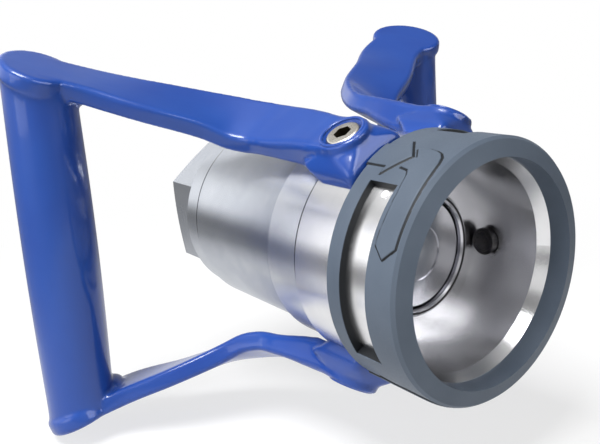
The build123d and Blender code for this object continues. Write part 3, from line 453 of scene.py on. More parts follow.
def tube(name, grid):
    """Closed tube from a grid of sections, (rows, columns, 3) in millimetres. A flat face closes each end."""
    rows, columns, _ = grid.shape
    faces = grid_faces(rows, columns)
    faces.append(list(range(columns))[::-1])
    faces.append(list(range((rows - 1) * columns, rows * columns)))
    return outward(mesh_object(name, grid.reshape(-1, 3), faces))


def loop(name, grid):
    """Closed ring from a grid whose last row meets its first."""
    rows, columns, _ = grid.shape
    return outward(mesh_object(name, grid.reshape(-1, 3), grid_faces(rows, columns, close_rows=True)))


print("a grid of 3 rows and 4 columns has", len(grid_faces(3, 4)), "quads, as a ring",
      len(grid_faces(3, 4, close_rows=True)))

# %% [markdown]
# The pieces below share three more forms. A bar is a profile turned about a line, an even row of angles goes
# round a circle, and a rounded rectangle is the section of everything that was cast flat.

# %% Angles, bars and rounded rectangles
# Points on a quarter arc
ARC_STEPS = 8
BAR_SIDES = 72
# Any direction that lies along no bar: its cross product with the bar's own direction gives a first spoke
ASKEW = (0.3, 0.5, 0.81)


def unit(vectors):
    """Vectors scaled to length one."""
    return vectors / np.linalg.norm(vectors, axis=-1, keepdims=True)


def round_angles(count):
    """Angles of count points spread evenly round a circle."""
    return np.linspace(0, 2 * np.pi, count, endpoint=False)


def bar_grid(centre, direction, profile, sides=BAR_SIDES):
    """Solid of revolution about a line: profile rows are (distance along the line, radius), and each point is
    the centre, plus its distance along the line, plus its radius times a spoke that turns about the line."""
    direction = unit(np.asarray(direction, float))
    first = unit(np.cross(direction, ASKEW))
    second = np.cross(direction, first)
    turn = round_angles(sides)[None, :, None]
    along, radius = np.array(profile, float).T[:, :, None, None]
    return np.asarray(centre) + along * direction + radius * (np.cos(turn) * first + np.sin(turn) * second)


def rounded_rectangle(width, thick, corner):
    """Section points, one row per station: quarter arcs of a corner radius joined by straight sides."""
    quarter = np.linspace(0, np.pi / 2, ARC_STEPS)
    turn = np.concatenate([quarter + k * np.pi / 2 for k in range(4)])
    side_x = np.repeat([1, -1, -1, 1], ARC_STEPS)
    side_y = np.repeat([1, 1, -1, -1], ARC_STEPS)
    u = side_x * (width / 2 - corner)[:, None] + corner[:, None] * np.cos(turn)
    v = side_y * (thick / 2 - corner)[:, None] + corner[:, None] * np.sin(turn)
    return u, v


print("a bar of 2 rows has", bar_grid((0, 0, 0), (0, 1, 0), [(0, 1), (5, 1)]).shape[:2], "points")

# %% [markdown]
# ## Handles
# Each handle is one casting. Its arm leaves the bell as a flat strap, dips at a knee and splays out to an
# oval cap on top of the grip, and the lower arm mirrors it. A path of stations carries a rounded rectangle
# whose width turns along the way, and that gives the strap in one surface. A smooth curve runs through the
# rows of its table, so a few rows are enough.

# %% Arm of a handle
ARM_TILT = math.radians(29.0)
# Directions of the cap: across its long way, and ahead along the strap
CAP_ACROSS = np.array([0.524, 0.829, 0.189])
CAP_AHEAD = np.array([-0.884, 0.334, 0.330])
STRAP_SECTIONS = 190
STRAP_CORNER_SHARE, NOSE_CORNER_SHARE = 0.25, 0.45
# Rows: station, height of the strap's middle, sideways offset, thickness, width, share of the turn
ARM_ROWS = np.array([
    [46.4, 82.4, 0.0, 9.6, 5.0, 0.0], [47.4, 82.5, 0.0, 10.6, 12.6, 0.0],
    [50.0, 82.6, 0.0, 11.0, 20.6, 0.0], [54.0, 82.6, 0.0, 11.0, 27.0, 0.0],
    [60.0, 82.0, 0.0, 12.0, 30.6, 0.0], [67.0, 80.9, 0.0, 14.4, 31.0, 0.0],
    [79.0, 78.2, 0.0, 20.2, 31.6, 0.0], [95.0, 79.9, 0.0, 18.6, 33.8, -0.02],
    [118.0, 84.1, 2.8, 13.6, 36.8, -0.05], [135.0, 86.9, 5.4, 12.6, 38.8, 0.10],
    [146.0, 91.8, 10.2, 12.6, 40.0, 0.26], [158.1, 101.2, 17.2, 12.6, 41.4, 0.53],
    [182.2, 130.6, 43.0, 11.8, 44.6, 0.83], [202.6, 153.2, 62.1, 11.8, 45.4, 1.0],
    [213.0, 175.4, 81.4, 11.0, 44.0, 1.0]])


def arm_place(station, height, side):
    """Point of the upper left arm: outwards along the screw's line by height, sideways off that line."""
    x = -height * np.sin(ARM_TILT) - side * np.cos(ARM_TILT)
    z = height * np.cos(ARM_TILT) - side * np.sin(ARM_TILT)
    return np.stack([x, station, z], -1)


def smooth_rows(table, count):
    """Rows of a table run through by one smooth curve of cubic pieces. The slope at a row is the mean of the
    slopes beside it, and the curve is measured by the length of the path through the first three columns."""
    run = np.concatenate([[0], np.cumsum(np.linalg.norm(np.diff(table[:, :3], axis=0), axis=1))])
    slope = np.gradient(table, run, axis=0)
    at = np.linspace(0, run[-1], count)
    k = np.clip(np.searchsorted(run, at, side="right") - 1, 0, len(run) - 2)
    gap = (run[k + 1] - run[k])[:, None]
    t = ((at - run[k]) / (run[k + 1] - run[k]))[:, None]
    return ((2 * t ** 3 - 3 * t ** 2 + 1) * table[k] + (t ** 3 - 2 * t ** 2 + t) * gap * slope[k]
            + (3 * t ** 2 - 2 * t ** 3) * table[k + 1] + (t ** 3 - t ** 2) * gap * slope[k + 1])


def strap_grid():
    """Sections along the arm, which ends inside the cap. A point is the middle line's, plus its place across
    times the direction of the width, plus its place up times the direction square to path and width. The
    width starts square to the screw's line and goes over to the cap's by the share of the turn. It is kept
    square to the path."""
    station, height, side, thick, width, share = smooth_rows(ARM_ROWS, STRAP_SECTIONS).T
    middle_line = arm_place(station, height, side)
    start_width = np.array([math.cos(ARM_TILT), 0, math.sin(ARM_TILT)])
    across = start_width * (1 - share[:, None]) + CAP_ACROSS * share[:, None]
    along = unit(np.gradient(middle_line, axis=0))
    across = unit(across - along * np.sum(across * along, axis=1, keepdims=True))
    up = np.cross(along, across)
    corner = np.minimum(thick * STRAP_CORNER_SHARE, width * NOSE_CORNER_SHARE)
    u, v = rounded_rectangle(width, thick, corner)
    return middle_line[:, None] + u[..., None] * across[:, None] + v[..., None] * up[:, None]


print("strap:", STRAP_SECTIONS, "sections through", len(ARM_ROWS), "rows")

# %% [markdown]
# The cap is an oval plate with rounded rims, tilted to follow the strap. The boss under the strap is a block
# on the bell that draws in to a round collar for the screw.

# %% Cap and boss
CAP_CENTRE = arm_place(213.0, 175.5, 81.6)
CAP_THICK, CAP_CORNER = 11.0, 2.9
CAP_HALF_LENGTH, CAP_HALF_WIDTH = 23.3, 28.5
CAP_COLUMNS = 96
# Rows: height above the axis, front station, rear station, half width, corner radius
BOSS_ROWS = np.array([
    [62.0, 42.4, 68.0, 22.0, 3.0], [70.4, 42.4, 76.5, 21.8, 3.0], [74.0, 42.6, 82.0, 21.2, 3.6],
    [77.0, 43.8, 86.5, 19.6, 5.0], [80.0, 45.2, 83.0, 17.6, 8.5], [83.0, 46.3, 79.0, 15.8, 14.0],
    [87.4, 46.9, 77.2, 15.1, 14.9]])


def cap_axes():
    """Unit vectors of the cap: ahead along the strap, across it, and square to both."""
    ahead = unit(CAP_AHEAD)
    across = unit(CAP_ACROSS - ahead * np.dot(CAP_ACROSS, ahead))
    return ahead, across, np.cross(ahead, across)


def cap_grid():
    """Oval plate: layers of one ellipse, drawn in near the top and the bottom by quarter arcs, which round
    the plate's two rims."""
    ahead, across, up = cap_axes()
    turn = round_angles(CAP_COLUMNS)[None, :, None]
    arc = np.linspace(0, np.pi / 2, ARC_STEPS)
    height = CAP_THICK / 2 - CAP_CORNER * (1 - np.cos(arc))
    level = np.concatenate([-height, height[::-1]])[:, None, None]
    inset = CAP_CORNER * (1 - np.sin(np.concatenate([arc, arc[::-1]])))[:, None, None]
    return (CAP_CENTRE + level * up + (CAP_HALF_LENGTH - inset) * np.cos(turn) * ahead
            + (CAP_HALF_WIDTH - inset) * np.sin(turn) * across)


def boss_grid():
    """Layers of a rounded rectangle, whose corners grow with height until the top one is nearly a circle."""
    height, front, rear, half_width, corner = BOSS_ROWS.T
    u, v = rounded_rectangle(rear - front, 2 * half_width, corner)
    station = ((front + rear) / 2)[:, None] + u
    return arm_place(station, np.repeat(height[:, None], u.shape[1], 1), v)


print("cap centre:", np.round(CAP_CENTRE, 1), "mm")

# %% [markdown]
# The grip is a wide upright bar of oval section that runs from cap to cap. In the inner corner of arm and
# grip the casting has a ball of metal, where the mould was filled out.

# %% Grip and corner ball
GRIP_ROWS, GRIP_COLUMNS = 115, 72
GRIP_LONG_RADIUS, GRIP_SHORT_RADIUS = 24.5, 21.7
# Turn of the long radius from the x axis
GRIP_LEAN = math.radians(70.0)
GRIP_SWELL, GRIP_FLARE, GRIP_FLARE_REACH = 0.08, 0.05, 5.0
GRIP_BELOW_CAP_MIDDLE = 1.0
# Centre of the ball from the cap's centre, and its half sizes along the cap's width, into the corner and up
BALL_FROM_CAP = np.array([22.5, -5.0, -13.0])
BALL_HALF_LENGTH, BALL_DEPTH, BALL_HEIGHT = 15.0, 7.5, 8.5
BALL_UP = np.array([0.25, -0.1, 1.0])
BALL_ROWS, BALL_COLUMNS, BALL_POLE = 20, 32, 0.12


def grip_grid():
    """Ellipses up a bar: they swell in the middle by a cosine, flare at the ends by an exponential, and stop
    on tilted planes a little below the middles of the caps."""
    reach = CAP_CENTRE[2]
    z = np.linspace(-reach, reach, GRIP_ROWS)[:, None]
    turn = round_angles(GRIP_COLUMNS)[None]
    flare = GRIP_FLARE * np.exp(-(reach - np.abs(z)) / GRIP_FLARE_REACH)
    swell = 1 + GRIP_SWELL * np.cos(z / reach * np.pi / 2) + flare
    a, b = GRIP_LONG_RADIUS * swell * np.cos(turn), GRIP_SHORT_RADIUS * swell * np.sin(turn)
    x = a * math.cos(GRIP_LEAN) - b * math.sin(GRIP_LEAN)
    y = a * math.sin(GRIP_LEAN) + b * math.cos(GRIP_LEAN)
    up = cap_axes()[2]
    plane = reach - (up[0] * x + up[1] * y) / up[2] - GRIP_BELOW_CAP_MIDDLE
    return np.stack([CAP_CENTRE[0] + x, CAP_CENTRE[1] + y, z / reach * plane], -1)


def ball_grid():
    """Stretched sphere between two small circles that stand for its poles: the centre, plus the cosine of the
    rise times the half length across, plus the sine of the rise times an oval girdle."""
    turn = round_angles(BALL_COLUMNS)[None, :, None]
    rise = np.linspace(BALL_POLE, np.pi - BALL_POLE, BALL_ROWS)[:, None, None]
    across = unit(CAP_ACROSS)
    up = unit(BALL_UP)
    side = np.cross(across, up)
    girdle = BALL_DEPTH * np.cos(turn) * side + BALL_HEIGHT * np.sin(turn) * up
    return CAP_CENTRE + BALL_FROM_CAP + BALL_HALF_LENGTH * np.cos(rise) * across + np.sin(rise) * girdle


print("grip:", round(2 * CAP_CENTRE[2], 1), "mm between the caps' centres")

# %% [markdown]
# Strap, cap, boss, ball and grip are now joined by a voxel remesh. It works at one grain size and leaves the
# soft inner corners that a sand casting has. The machined faces are cut afterwards, so that they stay sharp:
# the seat on the bell, and the counterbores of the screws.

# %% Joining and cutting


def below(grid):
    """The same grid mirrored to the lower arm, its columns reversed so that it stays right side out."""
    return (grid * [1, 1, -1])[:, ::-1]


def apply_modifiers(obj):
    """Bakes an object's modifiers into its mesh."""
    graph = bpy.context.evaluated_depsgraph_get()
    mesh = bpy.data.meshes.new_from_object(obj.evaluated_get(graph))
    obj.modifiers.clear()
    obj.data = mesh


def join(name, objects):
    """One mesh object from several, with the old ones removed."""
    work = bmesh.new()
    for obj in objects:
        work.from_mesh(obj.data)
    mesh = bpy.data.meshes.new(name)
    work.to_mesh(mesh)
    work.free()
    for obj in objects:
        bpy.data.objects.remove(obj)
    joined = bpy.data.objects.new(name, mesh)
    bpy.context.collection.objects.link(joined)
    return joined


def cut(obj, tool):
    """Takes a tool's volume out of an object."""
    modifier = obj.modifiers.new("cut", "BOOLEAN")
    modifier.operation, modifier.object, modifier.solver = "DIFFERENCE", tool, "EXACT"
    apply_modifiers(obj)
    bpy.data.objects.remove(tool)


print("lower boss reaches", round(-below(boss_grid())[..., 2].min(), 1), "mm below the axis")

# %% [markdown]
# The left casting is made once, and the right one is its mirror image. The bars that cut the seat and the
# counterbores are longer than the metal, so that no thin skin is left at their ends.

# %% Both handles
BELL_R, SEAT_FRONT, SEAT_REAR, SEAT_SIDES = 70.4, 20.0, 150.0, 160
SCREW_PLACE = (0.0, 62.0, 0.0)
COUNTERBORE_R, COUNTERBORE_FLOOR, COUNTERBORE_END = 12.3, 80.6, 100.0
VOXEL_MM, SMOOTH_SHARE, SMOOTH_ROUNDS = 1.25, 0.5, 3


def screw_line(sign_x, sign_z):
    """Direction of one of the four screws, from the axis outwards."""
    return np.array([sign_x * math.sin(ARM_TILT), 0, sign_z * math.cos(ARM_TILT)])


def make_left_handle():
    """Joins arms, bosses and grip, rounds their corners, then cuts the bell's seat and the counterbores."""
    upper = [strap_grid(), cap_grid(), boss_grid(), ball_grid()]
    grids = upper + [below(grid) for grid in upper] + [grip_grid()]
    handle = join("left_handle_casting", [tube(f"handle_form_{k}", grid) for k, grid in enumerate(grids)])
    remesh = handle.modifiers.new("remesh", "REMESH")
    remesh.mode, remesh.voxel_size, remesh.use_smooth_shade = "VOXEL", VOXEL_MM * MM, True
    soften = handle.modifiers.new("soften", "SMOOTH")
    soften.factor, soften.iterations = SMOOTH_SHARE, SMOOTH_ROUNDS
    apply_modifiers(handle)
    seat = [(SEAT_FRONT, BELL_R), (SEAT_REAR, BELL_R)]
    cut(handle, tube("seat", bar_grid((0, 0, 0), (0, 1, 0), seat, SEAT_SIDES)))
    well = [(COUNTERBORE_FLOOR, COUNTERBORE_R), (COUNTERBORE_END, COUNTERBORE_R)]
    for sign_z in (1, -1):
        cut(handle, tube("well", bar_grid(SCREW_PLACE, screw_line(-1, sign_z), well)))
    handle.data.shade_smooth()
    return handle


def mirrored(obj, name):
    """Copy mirrored from left to right, its faces turned back outwards."""
    mesh = obj.data.copy()
    mesh.transform(Matrix.Scale(-1, 4, (1, 0, 0)))
    mesh.flip_normals()
    twin = bpy.data.objects.new(name, mesh)
    bpy.context.collection.objects.link(twin)
    return twin


left_casting = make_left_handle()
right_casting = mirrored(left_casting, "right_handle_casting")
for casting, node_name in ((left_casting, "left_handle"), (right_casting, "right_handle")):
    casting.data.materials.clear()
    casting.data.materials.append(blue_enamel)
    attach(casting, "bell")
    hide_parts(node_name)
print("handle:", len(left_casting.data.polygons), "faces")

# %% [markdown]
# The paint gathers in a raised lip round each screw's counterbore. A small ring of oval section over the cut
# edge gives that lip and hides the sharp edge. It is a piece by itself, since the remesh would lose it.

# %% Counterbore lips
LIP_HEIGHT, LIP_OUT = 87.75, 0.75
LIP_HALF_WIDTH, LIP_HALF_HEIGHT = 1.0, 0.85
LIP_ROWS, LIP_COLUMNS = 96, 16


def lip_grid(line):
    """Torus round a screw's line. The cosine of the roll widens the radius, its sine lifts the height, and
    the turn carries that small oval round the counterbore's edge."""
    first = np.array([0.0, 1.0, 0.0])
    second = np.cross(line, first)
    turn = round_angles(LIP_ROWS)[:, None, None]
    roll = round_angles(LIP_COLUMNS)[None, :, None]
    radius = COUNTERBORE_R + LIP_OUT + LIP_HALF_WIDTH * np.cos(roll)
    height = LIP_HEIGHT + LIP_HALF_HEIGHT * np.sin(roll)
    return SCREW_PLACE + radius * (np.cos(turn) * first + np.sin(turn) * second) + height * line


SCREW_LINES = [screw_line(sign_x, sign_z) for sign_x in (-1, 1) for sign_z in (-1, 1)]
counterbore_lips = join("counterbore_lips", [loop("lip_part", lip_grid(line)) for line in SCREW_LINES])
counterbore_lips.data.materials.append(blue_enamel)
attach(counterbore_lips, "bell")
print("lips:", len(SCREW_LINES), "rings of", LIP_ROWS, "sections")

# %% [markdown]
# ## Handle screws
# The photograph shows wide low heads, flat on top with a rounded edge, and a deep hexagon socket. A head is a
# solid of revolution, and the socket is a hexagonal bar with a pointed foot that is taken out of it. Faces
# inside the socket get the dark finish of grease and painted shade.

# %% Screws
HEAD_R, HEAD_TOP, HEAD_EDGE_R, SCREW_SIDES = 10.5, 87.5, 1.9, 64
SHANK_R, SHANK_END = 6.0, 62.6
SOCKET_FLATS, SOCKET_DEPTH, SOCKET_POINT, SOCKET_TIP_R = 9.4, 4.6, 1.6, 0.4
SOCKET_CORNER_R = SOCKET_FLATS / math.sqrt(3)
SOCKET_SIDES, SOCKET_CUT_TOP = 6, HEAD_TOP + 2.0
INSIDE_FROM, INSIDE_TO = COUNTERBORE_FLOOR + 1.0, HEAD_TOP - 0.1
SHARP_ANGLE = math.radians(28)


def screw_profile():
    """Rows (height, radius) from the shank's end to the head's top, with a quarter arc at the head's edge."""
    arc = np.linspace(0, np.pi / 2, ARC_STEPS)
    rows = [(SHANK_END, SHANK_R), (COUNTERBORE_FLOOR, SHANK_R), (COUNTERBORE_FLOOR, HEAD_R)]
    heights = HEAD_TOP - HEAD_EDGE_R * (1 - np.sin(arc))
    radii = HEAD_R - HEAD_EDGE_R * (1 - np.cos(arc))
    return rows + list(zip(heights, radii))


def in_socket(screw, line):
    """Marks the faces whose middle lies inside the head and nearer to the line than the hexagon's corners."""
    centres = np.zeros((len(screw.data.polygons), 3))
    screw.data.polygons.foreach_get("center", centres.ravel())
    centres = centres / MM - SCREW_PLACE
    height = centres @ line
    off_line = np.linalg.norm(centres - height[:, None] * line, axis=1)
    return (height > INSIDE_FROM) & (height < INSIDE_TO) & (off_line < SOCKET_CORNER_R)


def make_screw(line):
    """One screw on its line, its socket cut out and marked."""
    screw = tube("screw_part", bar_grid(SCREW_PLACE, line, screw_profile(), SCREW_SIDES))
    floor_height = HEAD_TOP - SOCKET_DEPTH
    socket = [(floor_height - SOCKET_POINT, SOCKET_TIP_R), (floor_height, SOCKET_CORNER_R),
              (SOCKET_CUT_TOP, SOCKET_CORNER_R)]
    cut(screw, tube("socket", bar_grid(SCREW_PLACE, line, socket, SOCKET_SIDES)))
    screw.data.polygons.foreach_set("material_index", in_socket(screw, line).astype(int))
    return screw


socket_head_screws = join("socket_head_screws", [make_screw(line) for line in SCREW_LINES])
socket_head_screws.data.shade_smooth()
socket_head_screws.data.set_sharp_from_angle(angle=SHARP_ANGLE)
socket_head_screws.data.materials.append(screw_steel)
socket_head_screws.data.materials.append(socket_grease_and_shade_steel)
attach(socket_head_screws, "bell")
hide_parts("handle_screws")
print("screws:", len(socket_head_screws.data.polygons), "faces")

# %% [markdown]
# ## Moulded arrows on the bumper
# The bumper is moulded with three pairs of raised arrows, a straight one and a bent one. They are unrolled on
# paper first, as outlines in millimetres along the axis and degrees round it. A field of distances to the
# outline then raises the surface inside it with a soft edge, and the sheet is wrapped back round the bumper.

# %% Outlines of the arrows
BUMPER_R = 75.0
# How far an arrow stands out, half the width of its step, the lift of its flange and the flange's width
ARROW_RAISE, ARROW_EDGE, ARROW_FOOT, ARROW_FLANGE = 1.0, 0.3, 0.06, 0.5
ARROW_STEP, ARROW_MARGIN, ARROW_WALL = 0.35, 1.0, 0.8
STRAIGHT_ARROW = [
    (41.0, 112.0), (26.5, 112.0), (26.5, 107.6), (15.2, 117.6), (26.5, 129.0), (26.5, 124.8), (41.0, 124.8)]
BENT_ARROW = [
    (17.0, 112.4), (10.0, 111.6), (4.5, 112.2), (0.0, 113.6), (-3.0, 116.0), (-4.6, 119.4), (-5.6, 125.0),
    (-6.4, 135.0), (-6.8, 146.0), (-6.8, 157.4), (0.2, 162.3), (6.8, 157.4), (6.2, 147.0), (6.6, 136.0),
    (8.4, 127.6), (10.4, 124.9), (16.6, 124.0), (11.4, 117.8)]


def outline_distance(u, v, corners):
    """Distance from points to a closed outline: to its nearest side, and positive where a line sideways from
    the point crosses the outline an odd number of times."""
    nearest = np.full(u.shape, 1e9)
    crossings = np.zeros(u.shape, int)
    for (u0, v0), (u1, v1) in zip(corners, np.roll(corners, -1, axis=0)):
        du, dv = u1 - u0, v1 - v0
        share = np.clip(((u - u0) * du + (v - v0) * dv) / (du * du + dv * dv), 0, 1)
        nearest = np.minimum(nearest, np.hypot(u - u0 - share * du, v - v0 - share * dv))
        if dv != 0:
            crossings += ((v0 > v) != (v1 > v)) & (u < u0 + (v - v0) / dv * du)
    return np.where(crossings % 2 == 1, nearest, -nearest)


print("arrow outlines:", len(STRAIGHT_ARROW), "and", len(BENT_ARROW), "corners")

# %% [markdown]
# The step up to an arrow follows the smooth cubic 3t² - 2t³. A narrow flange is kept all round it, just
# above the bumper. Painted shade darkens the step and the flange, and that draws the outline. Solidify gives
# the sheet a wall.

# %% Raised arrows


def raised_mark(name, outline_points, turn_degrees):
    """Sheet over an outline: its radius is the bumper's, plus a foot, plus the raise times the smooth step of
    the distance to the outline. Quads farther out than the flange are dropped."""
    corners = np.array(outline_points, float)
    corners[:, 1] = np.radians(corners[:, 1]) * BUMPER_R
    low, high = corners.min(0) - ARROW_MARGIN, corners.max(0) + ARROW_MARGIN
    along, around = (np.arange(low[k], high[k], ARROW_STEP) for k in (0, 1))
    u, v = np.meshgrid(along, around, indexing="ij")
    inside = outline_distance(u, v, corners)
    share = np.clip((inside + ARROW_EDGE) / (2 * ARROW_EDGE), 0, 1)
    radius = BUMPER_R + ARROW_FOOT + (ARROW_RAISE - ARROW_FOOT) * share ** 2 * (3 - 2 * share)
    angle = v / BUMPER_R + math.radians(turn_degrees)
    points = np.stack([radius * np.cos(angle), u, radius * np.sin(angle)], -1).reshape(-1, 3)
    rows, columns = u.shape
    i, j = np.meshgrid(np.arange(rows - 1), np.arange(columns - 1), indexing="ij")
    first = i * columns + j
    quads = np.stack([first, first + columns, first + columns + 1, first + 1], -1)
    keep = np.maximum(inside[:-1, :-1], inside[1:, 1:]) > -ARROW_EDGE - ARROW_FLANGE
    used, faces = np.unique(quads[keep], return_inverse=True)
    return mesh_object(name, points[used], faces.reshape(-1, 4).tolist())


marks = [raised_mark(f"mark_{k}", arrow, 120.0 * k)
         for k in range(3) for arrow in (STRAIGHT_ARROW, BENT_ARROW)]
bumper_arrows = join("bumper_arrows", marks)
thicken = bumper_arrows.modifiers.new("thicken", "SOLIDIFY")
thicken.thickness, thicken.offset = ARROW_WALL * MM, -1.0
apply_modifiers(bumper_arrows)
outward(bumper_arrows)
bumper_arrows.data.shade_smooth()
bumper_arrows.data.materials.append(marked_polyurethane)
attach(bumper_arrows, "bell")
print("arrows:", len(bumper_arrows.data.polygons), "faces")

# %% [markdown]
# ## Hose end adapter
# The adapter is one turned and milled piece: a ring against the barrel, a groove, and a hexagon with an
# inside pipe thread for the hose. Its whole skin is one grid, whose rows follow the turned profile. The next
# cell lists the rows, each with the kind of surface it belongs to.

# %% Profile of the adapter
ADAPTER_FRONT, RING_FRONT, RING_REAR, HEX_FRONT, HEX_REAR = 180.0, 199.8, 217.8, 220.4, 254.4
SPIGOT_R, RING_R, RING_BEVEL, GROOVE_R, HOSE_BORE_R = 56.0, 61.4, 0.5, 47.5, 38.0
HEX_FLATS, HEX_TURN, HEX_BEVEL, BEVEL_ROWS, BEVEL_START_GAP = 100.0, math.radians(35.5), 3.0, 13, 0.05
HEX_FACE_INSET, BEVEL_INSET = 0.6, 1.0
# Larger than the hexagon's corners, so that a row with this radius takes the flats as they are
BEYOND_CORNERS = 99.0
THREAD_PITCH, THREAD_MINOR_R, THREAD_MAJOR_R, THREAD_START = 2.309, 42.46, 43.94, 227.4
THREAD_ROWS_PER_PITCH, THREAD_FROM_REAR, THREAD_RUN_OUT = 8, 1.5, 0.5
# The thread's mouth is a short cone: how far it opens beyond the thread, how deep it is, what is left there
MOUTH_OPEN, MOUTH_DEEP, MOUTH_LEFT = 1.0, 0.8, 0.2
GASKET_SEAT_R, GASKET_THICK = 43.6, 2.5
TURNED, HEXAGON, THREAD = 0, 1, 2


def adapter_rows():
    """Profile rows (station, radius, kind), from the spigot's front round the outside and back down the bore.
    The bevel goes straight from the hexagon's corners to just inside its flats."""
    rows = [(ADAPTER_FRONT, HOSE_BORE_R, TURNED), (ADAPTER_FRONT, SPIGOT_R, TURNED)]
    rows += [(RING_FRONT, SPIGOT_R, TURNED), (RING_FRONT, RING_R - RING_BEVEL, TURNED)]
    rows += [(RING_FRONT + RING_BEVEL, RING_R, TURNED)]
    rows += [(RING_REAR - 2 * RING_BEVEL, RING_R, TURNED), (RING_REAR, RING_R - 2 * RING_BEVEL, TURNED)]
    rows += [(RING_REAR, GROOVE_R, TURNED), (HEX_FRONT, GROOVE_R, TURNED)]
    rows += [(HEX_FRONT, HEX_FLATS / 2 - HEX_FACE_INSET, HEXAGON), (HEX_FRONT, BEYOND_CORNERS, HEXAGON)]
    bevel_front = HEX_REAR - HEX_BEVEL
    rows += [(bevel_front - BEVEL_START_GAP, BEYOND_CORNERS, HEXAGON), (bevel_front, BEYOND_CORNERS, HEXAGON)]
    corner_r, flat_r = HEX_FLATS / math.sqrt(3), HEX_FLATS / 2 - BEVEL_INSET
    for share in np.linspace(0, 1, BEVEL_ROWS + 1)[1:]:
        rows.append((bevel_front + HEX_BEVEL * share, corner_r + (flat_r - corner_r) * share, HEXAGON))
    rows += [(HEX_REAR, THREAD_MAJOR_R + MOUTH_OPEN, TURNED)]
    rows += [(HEX_REAR - MOUTH_DEEP, THREAD_MAJOR_R + MOUTH_LEFT, TURNED)]
    row_step = -THREAD_PITCH / THREAD_ROWS_PER_PITCH
    stations = np.arange(HEX_REAR - THREAD_FROM_REAR, THREAD_START + THREAD_RUN_OUT, row_step)
    rows += [(station, THREAD_MINOR_R, THREAD) for station in stations]
    rows += [(THREAD_START, THREAD_MINOR_R, TURNED), (THREAD_START, GASKET_SEAT_R, TURNED)]
    gasket_front = THREAD_START - GASKET_THICK
    return rows + [(gasket_front, GASKET_SEAT_R, TURNED), (gasket_front, HOSE_BORE_R, TURNED)]


print("adapter profile:", len(adapter_rows()), "rows")

# %% [markdown]
# One row becomes one loop of points. A turned row keeps its radius all round. In the hexagon the radius of
# each column is the distance to the nearest flat, cut off by the bevel. In the thread it follows a cosine
# that climbs one pitch in a turn.

# %% Skin of the adapter
ADAPTER_COLUMNS = 360
SIXTH = math.pi / 3


def adapter_grid():
    """Points of the adapter's skin, one row per profile row and one column per degree. A flat's radius is
    half the width across flats divided by the cosine of the angle from the flat's middle."""
    station, radius, kind = (np.array(column, float)[:, None] for column in zip(*adapter_rows()))
    from_corner = round_angles(ADAPTER_COLUMNS)[None]
    turn = HEX_TURN + from_corner
    hexagon = HEX_FLATS / 2 / np.cos(from_corner % SIXTH - SIXTH / 2)
    wave = 0.5 - 0.5 * np.cos(2 * np.pi * station / THREAD_PITCH - turn)
    thread = np.where(kind == THREAD, (THREAD_MAJOR_R - THREAD_MINOR_R) * wave, 0)
    r = np.where(kind == HEXAGON, np.minimum(radius, hexagon), radius + thread)
    y = np.broadcast_to(station, r.shape)
    return np.stack([r * np.cos(turn), y, r * np.sin(turn)], -1)


threaded_adapter = loop("threaded_hose_adapter", adapter_grid())
threaded_adapter.data.set_sharp_from_angle(angle=SHARP_ANGLE)
threaded_adapter.data.materials.append(satin_aluminium)
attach(threaded_adapter, "barrel")
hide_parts("hose_end_adapter")
print("adapter:", len(threaded_adapter.data.polygons), "faces")

# %% [markdown]
# ## Return spring
# The spring sits between the sleeve's flange and the spider, and it shortens when the sleeve slides back. A
# CAD solid can't do that, so the same coil is made here as a round wire carried along a helix.

# %% Coil of the return spring
SPRING_WIRE_R, SPRING_TURNS = 2.5, 5
SPRING_STEPS_PER_TURN, SPRING_SIDES = 48, 16


def coil_grid(front, rear, mean_radius):
    """Coil about the coupling axis. The path is the mean radius times an outward spoke, plus an even walk
    along the axis, and a circle of the wire's radius stands square to it at each step."""
    turn = np.linspace(0, 2 * np.pi * SPRING_TURNS, SPRING_STEPS_PER_TURN * SPRING_TURNS + 1)
    roll = round_angles(SPRING_SIDES)[None, :, None]
    outwards = np.stack([np.cos(turn), 0 * turn, np.sin(turn)], -1)
    path = mean_radius * outwards + np.linspace(front, rear, len(turn))[:, None] * [0, 1, 0]
    sideways = np.cross(unit(np.gradient(path, axis=0)), outwards)
    section = np.cos(roll) * outwards[:, None] + np.sin(roll) * sideways[:, None]
    return path[:, None] + SPRING_WIRE_R * section


spring_low, spring_high = (np.array(corner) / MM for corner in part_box("return_spring"))
spring_front, spring_rear = spring_low[1], spring_high[1]
coil = coil_grid(spring_front + SPRING_WIRE_R, spring_rear - SPRING_WIRE_R, spring_high[0] - SPRING_WIRE_R)
return_spring_coil = tube("return_spring_coil", coil)
return_spring_coil.data.materials.append(wire_steel)
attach(return_spring_coil, "barrel")
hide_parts("return_spring")
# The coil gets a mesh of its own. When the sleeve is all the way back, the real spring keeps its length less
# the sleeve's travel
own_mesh(return_spring_coil)

# %% [markdown]
# ## Studio
# The object stands on a pale floor under one large soft lamp from the upper left and a weak one from the
# left. Soft light from the surround is a little stronger on the left too, which shapes the round pieces.
#
# Bare metal has no colour of its own to show: it shows the room. So mirror rays see more than soft rays do.
# They meet a floor that darkens with distance, walls in bands of height that are brighter behind the object
# than in front of it, and three soft boxes that make the small highlights. The camera sees plain white. None
# of that adds light to the object, because rays that carry soft light don't see it.

# %% Tones of the room
FLOOR_SIZE, FLOOR_COLOUR, FLOOR_ROUGHNESS = 6.0, "#F4F4F4", 0.9
# The camera sees the floor as this share of plain white at the near distance, and as all white at the far one
NEAR_WHITE, FAR_WHITE, NEAR_DISTANCE, FAR_DISTANCE = 0.72, 1.0, 0.25, 0.75
# Soft light from the left and from the right of the room, and where it changes between them
LEFT_LIGHT, RIGHT_LIGHT, LEFT_AT, RIGHT_AT = 0.28, 0.12, -0.6, 0.7
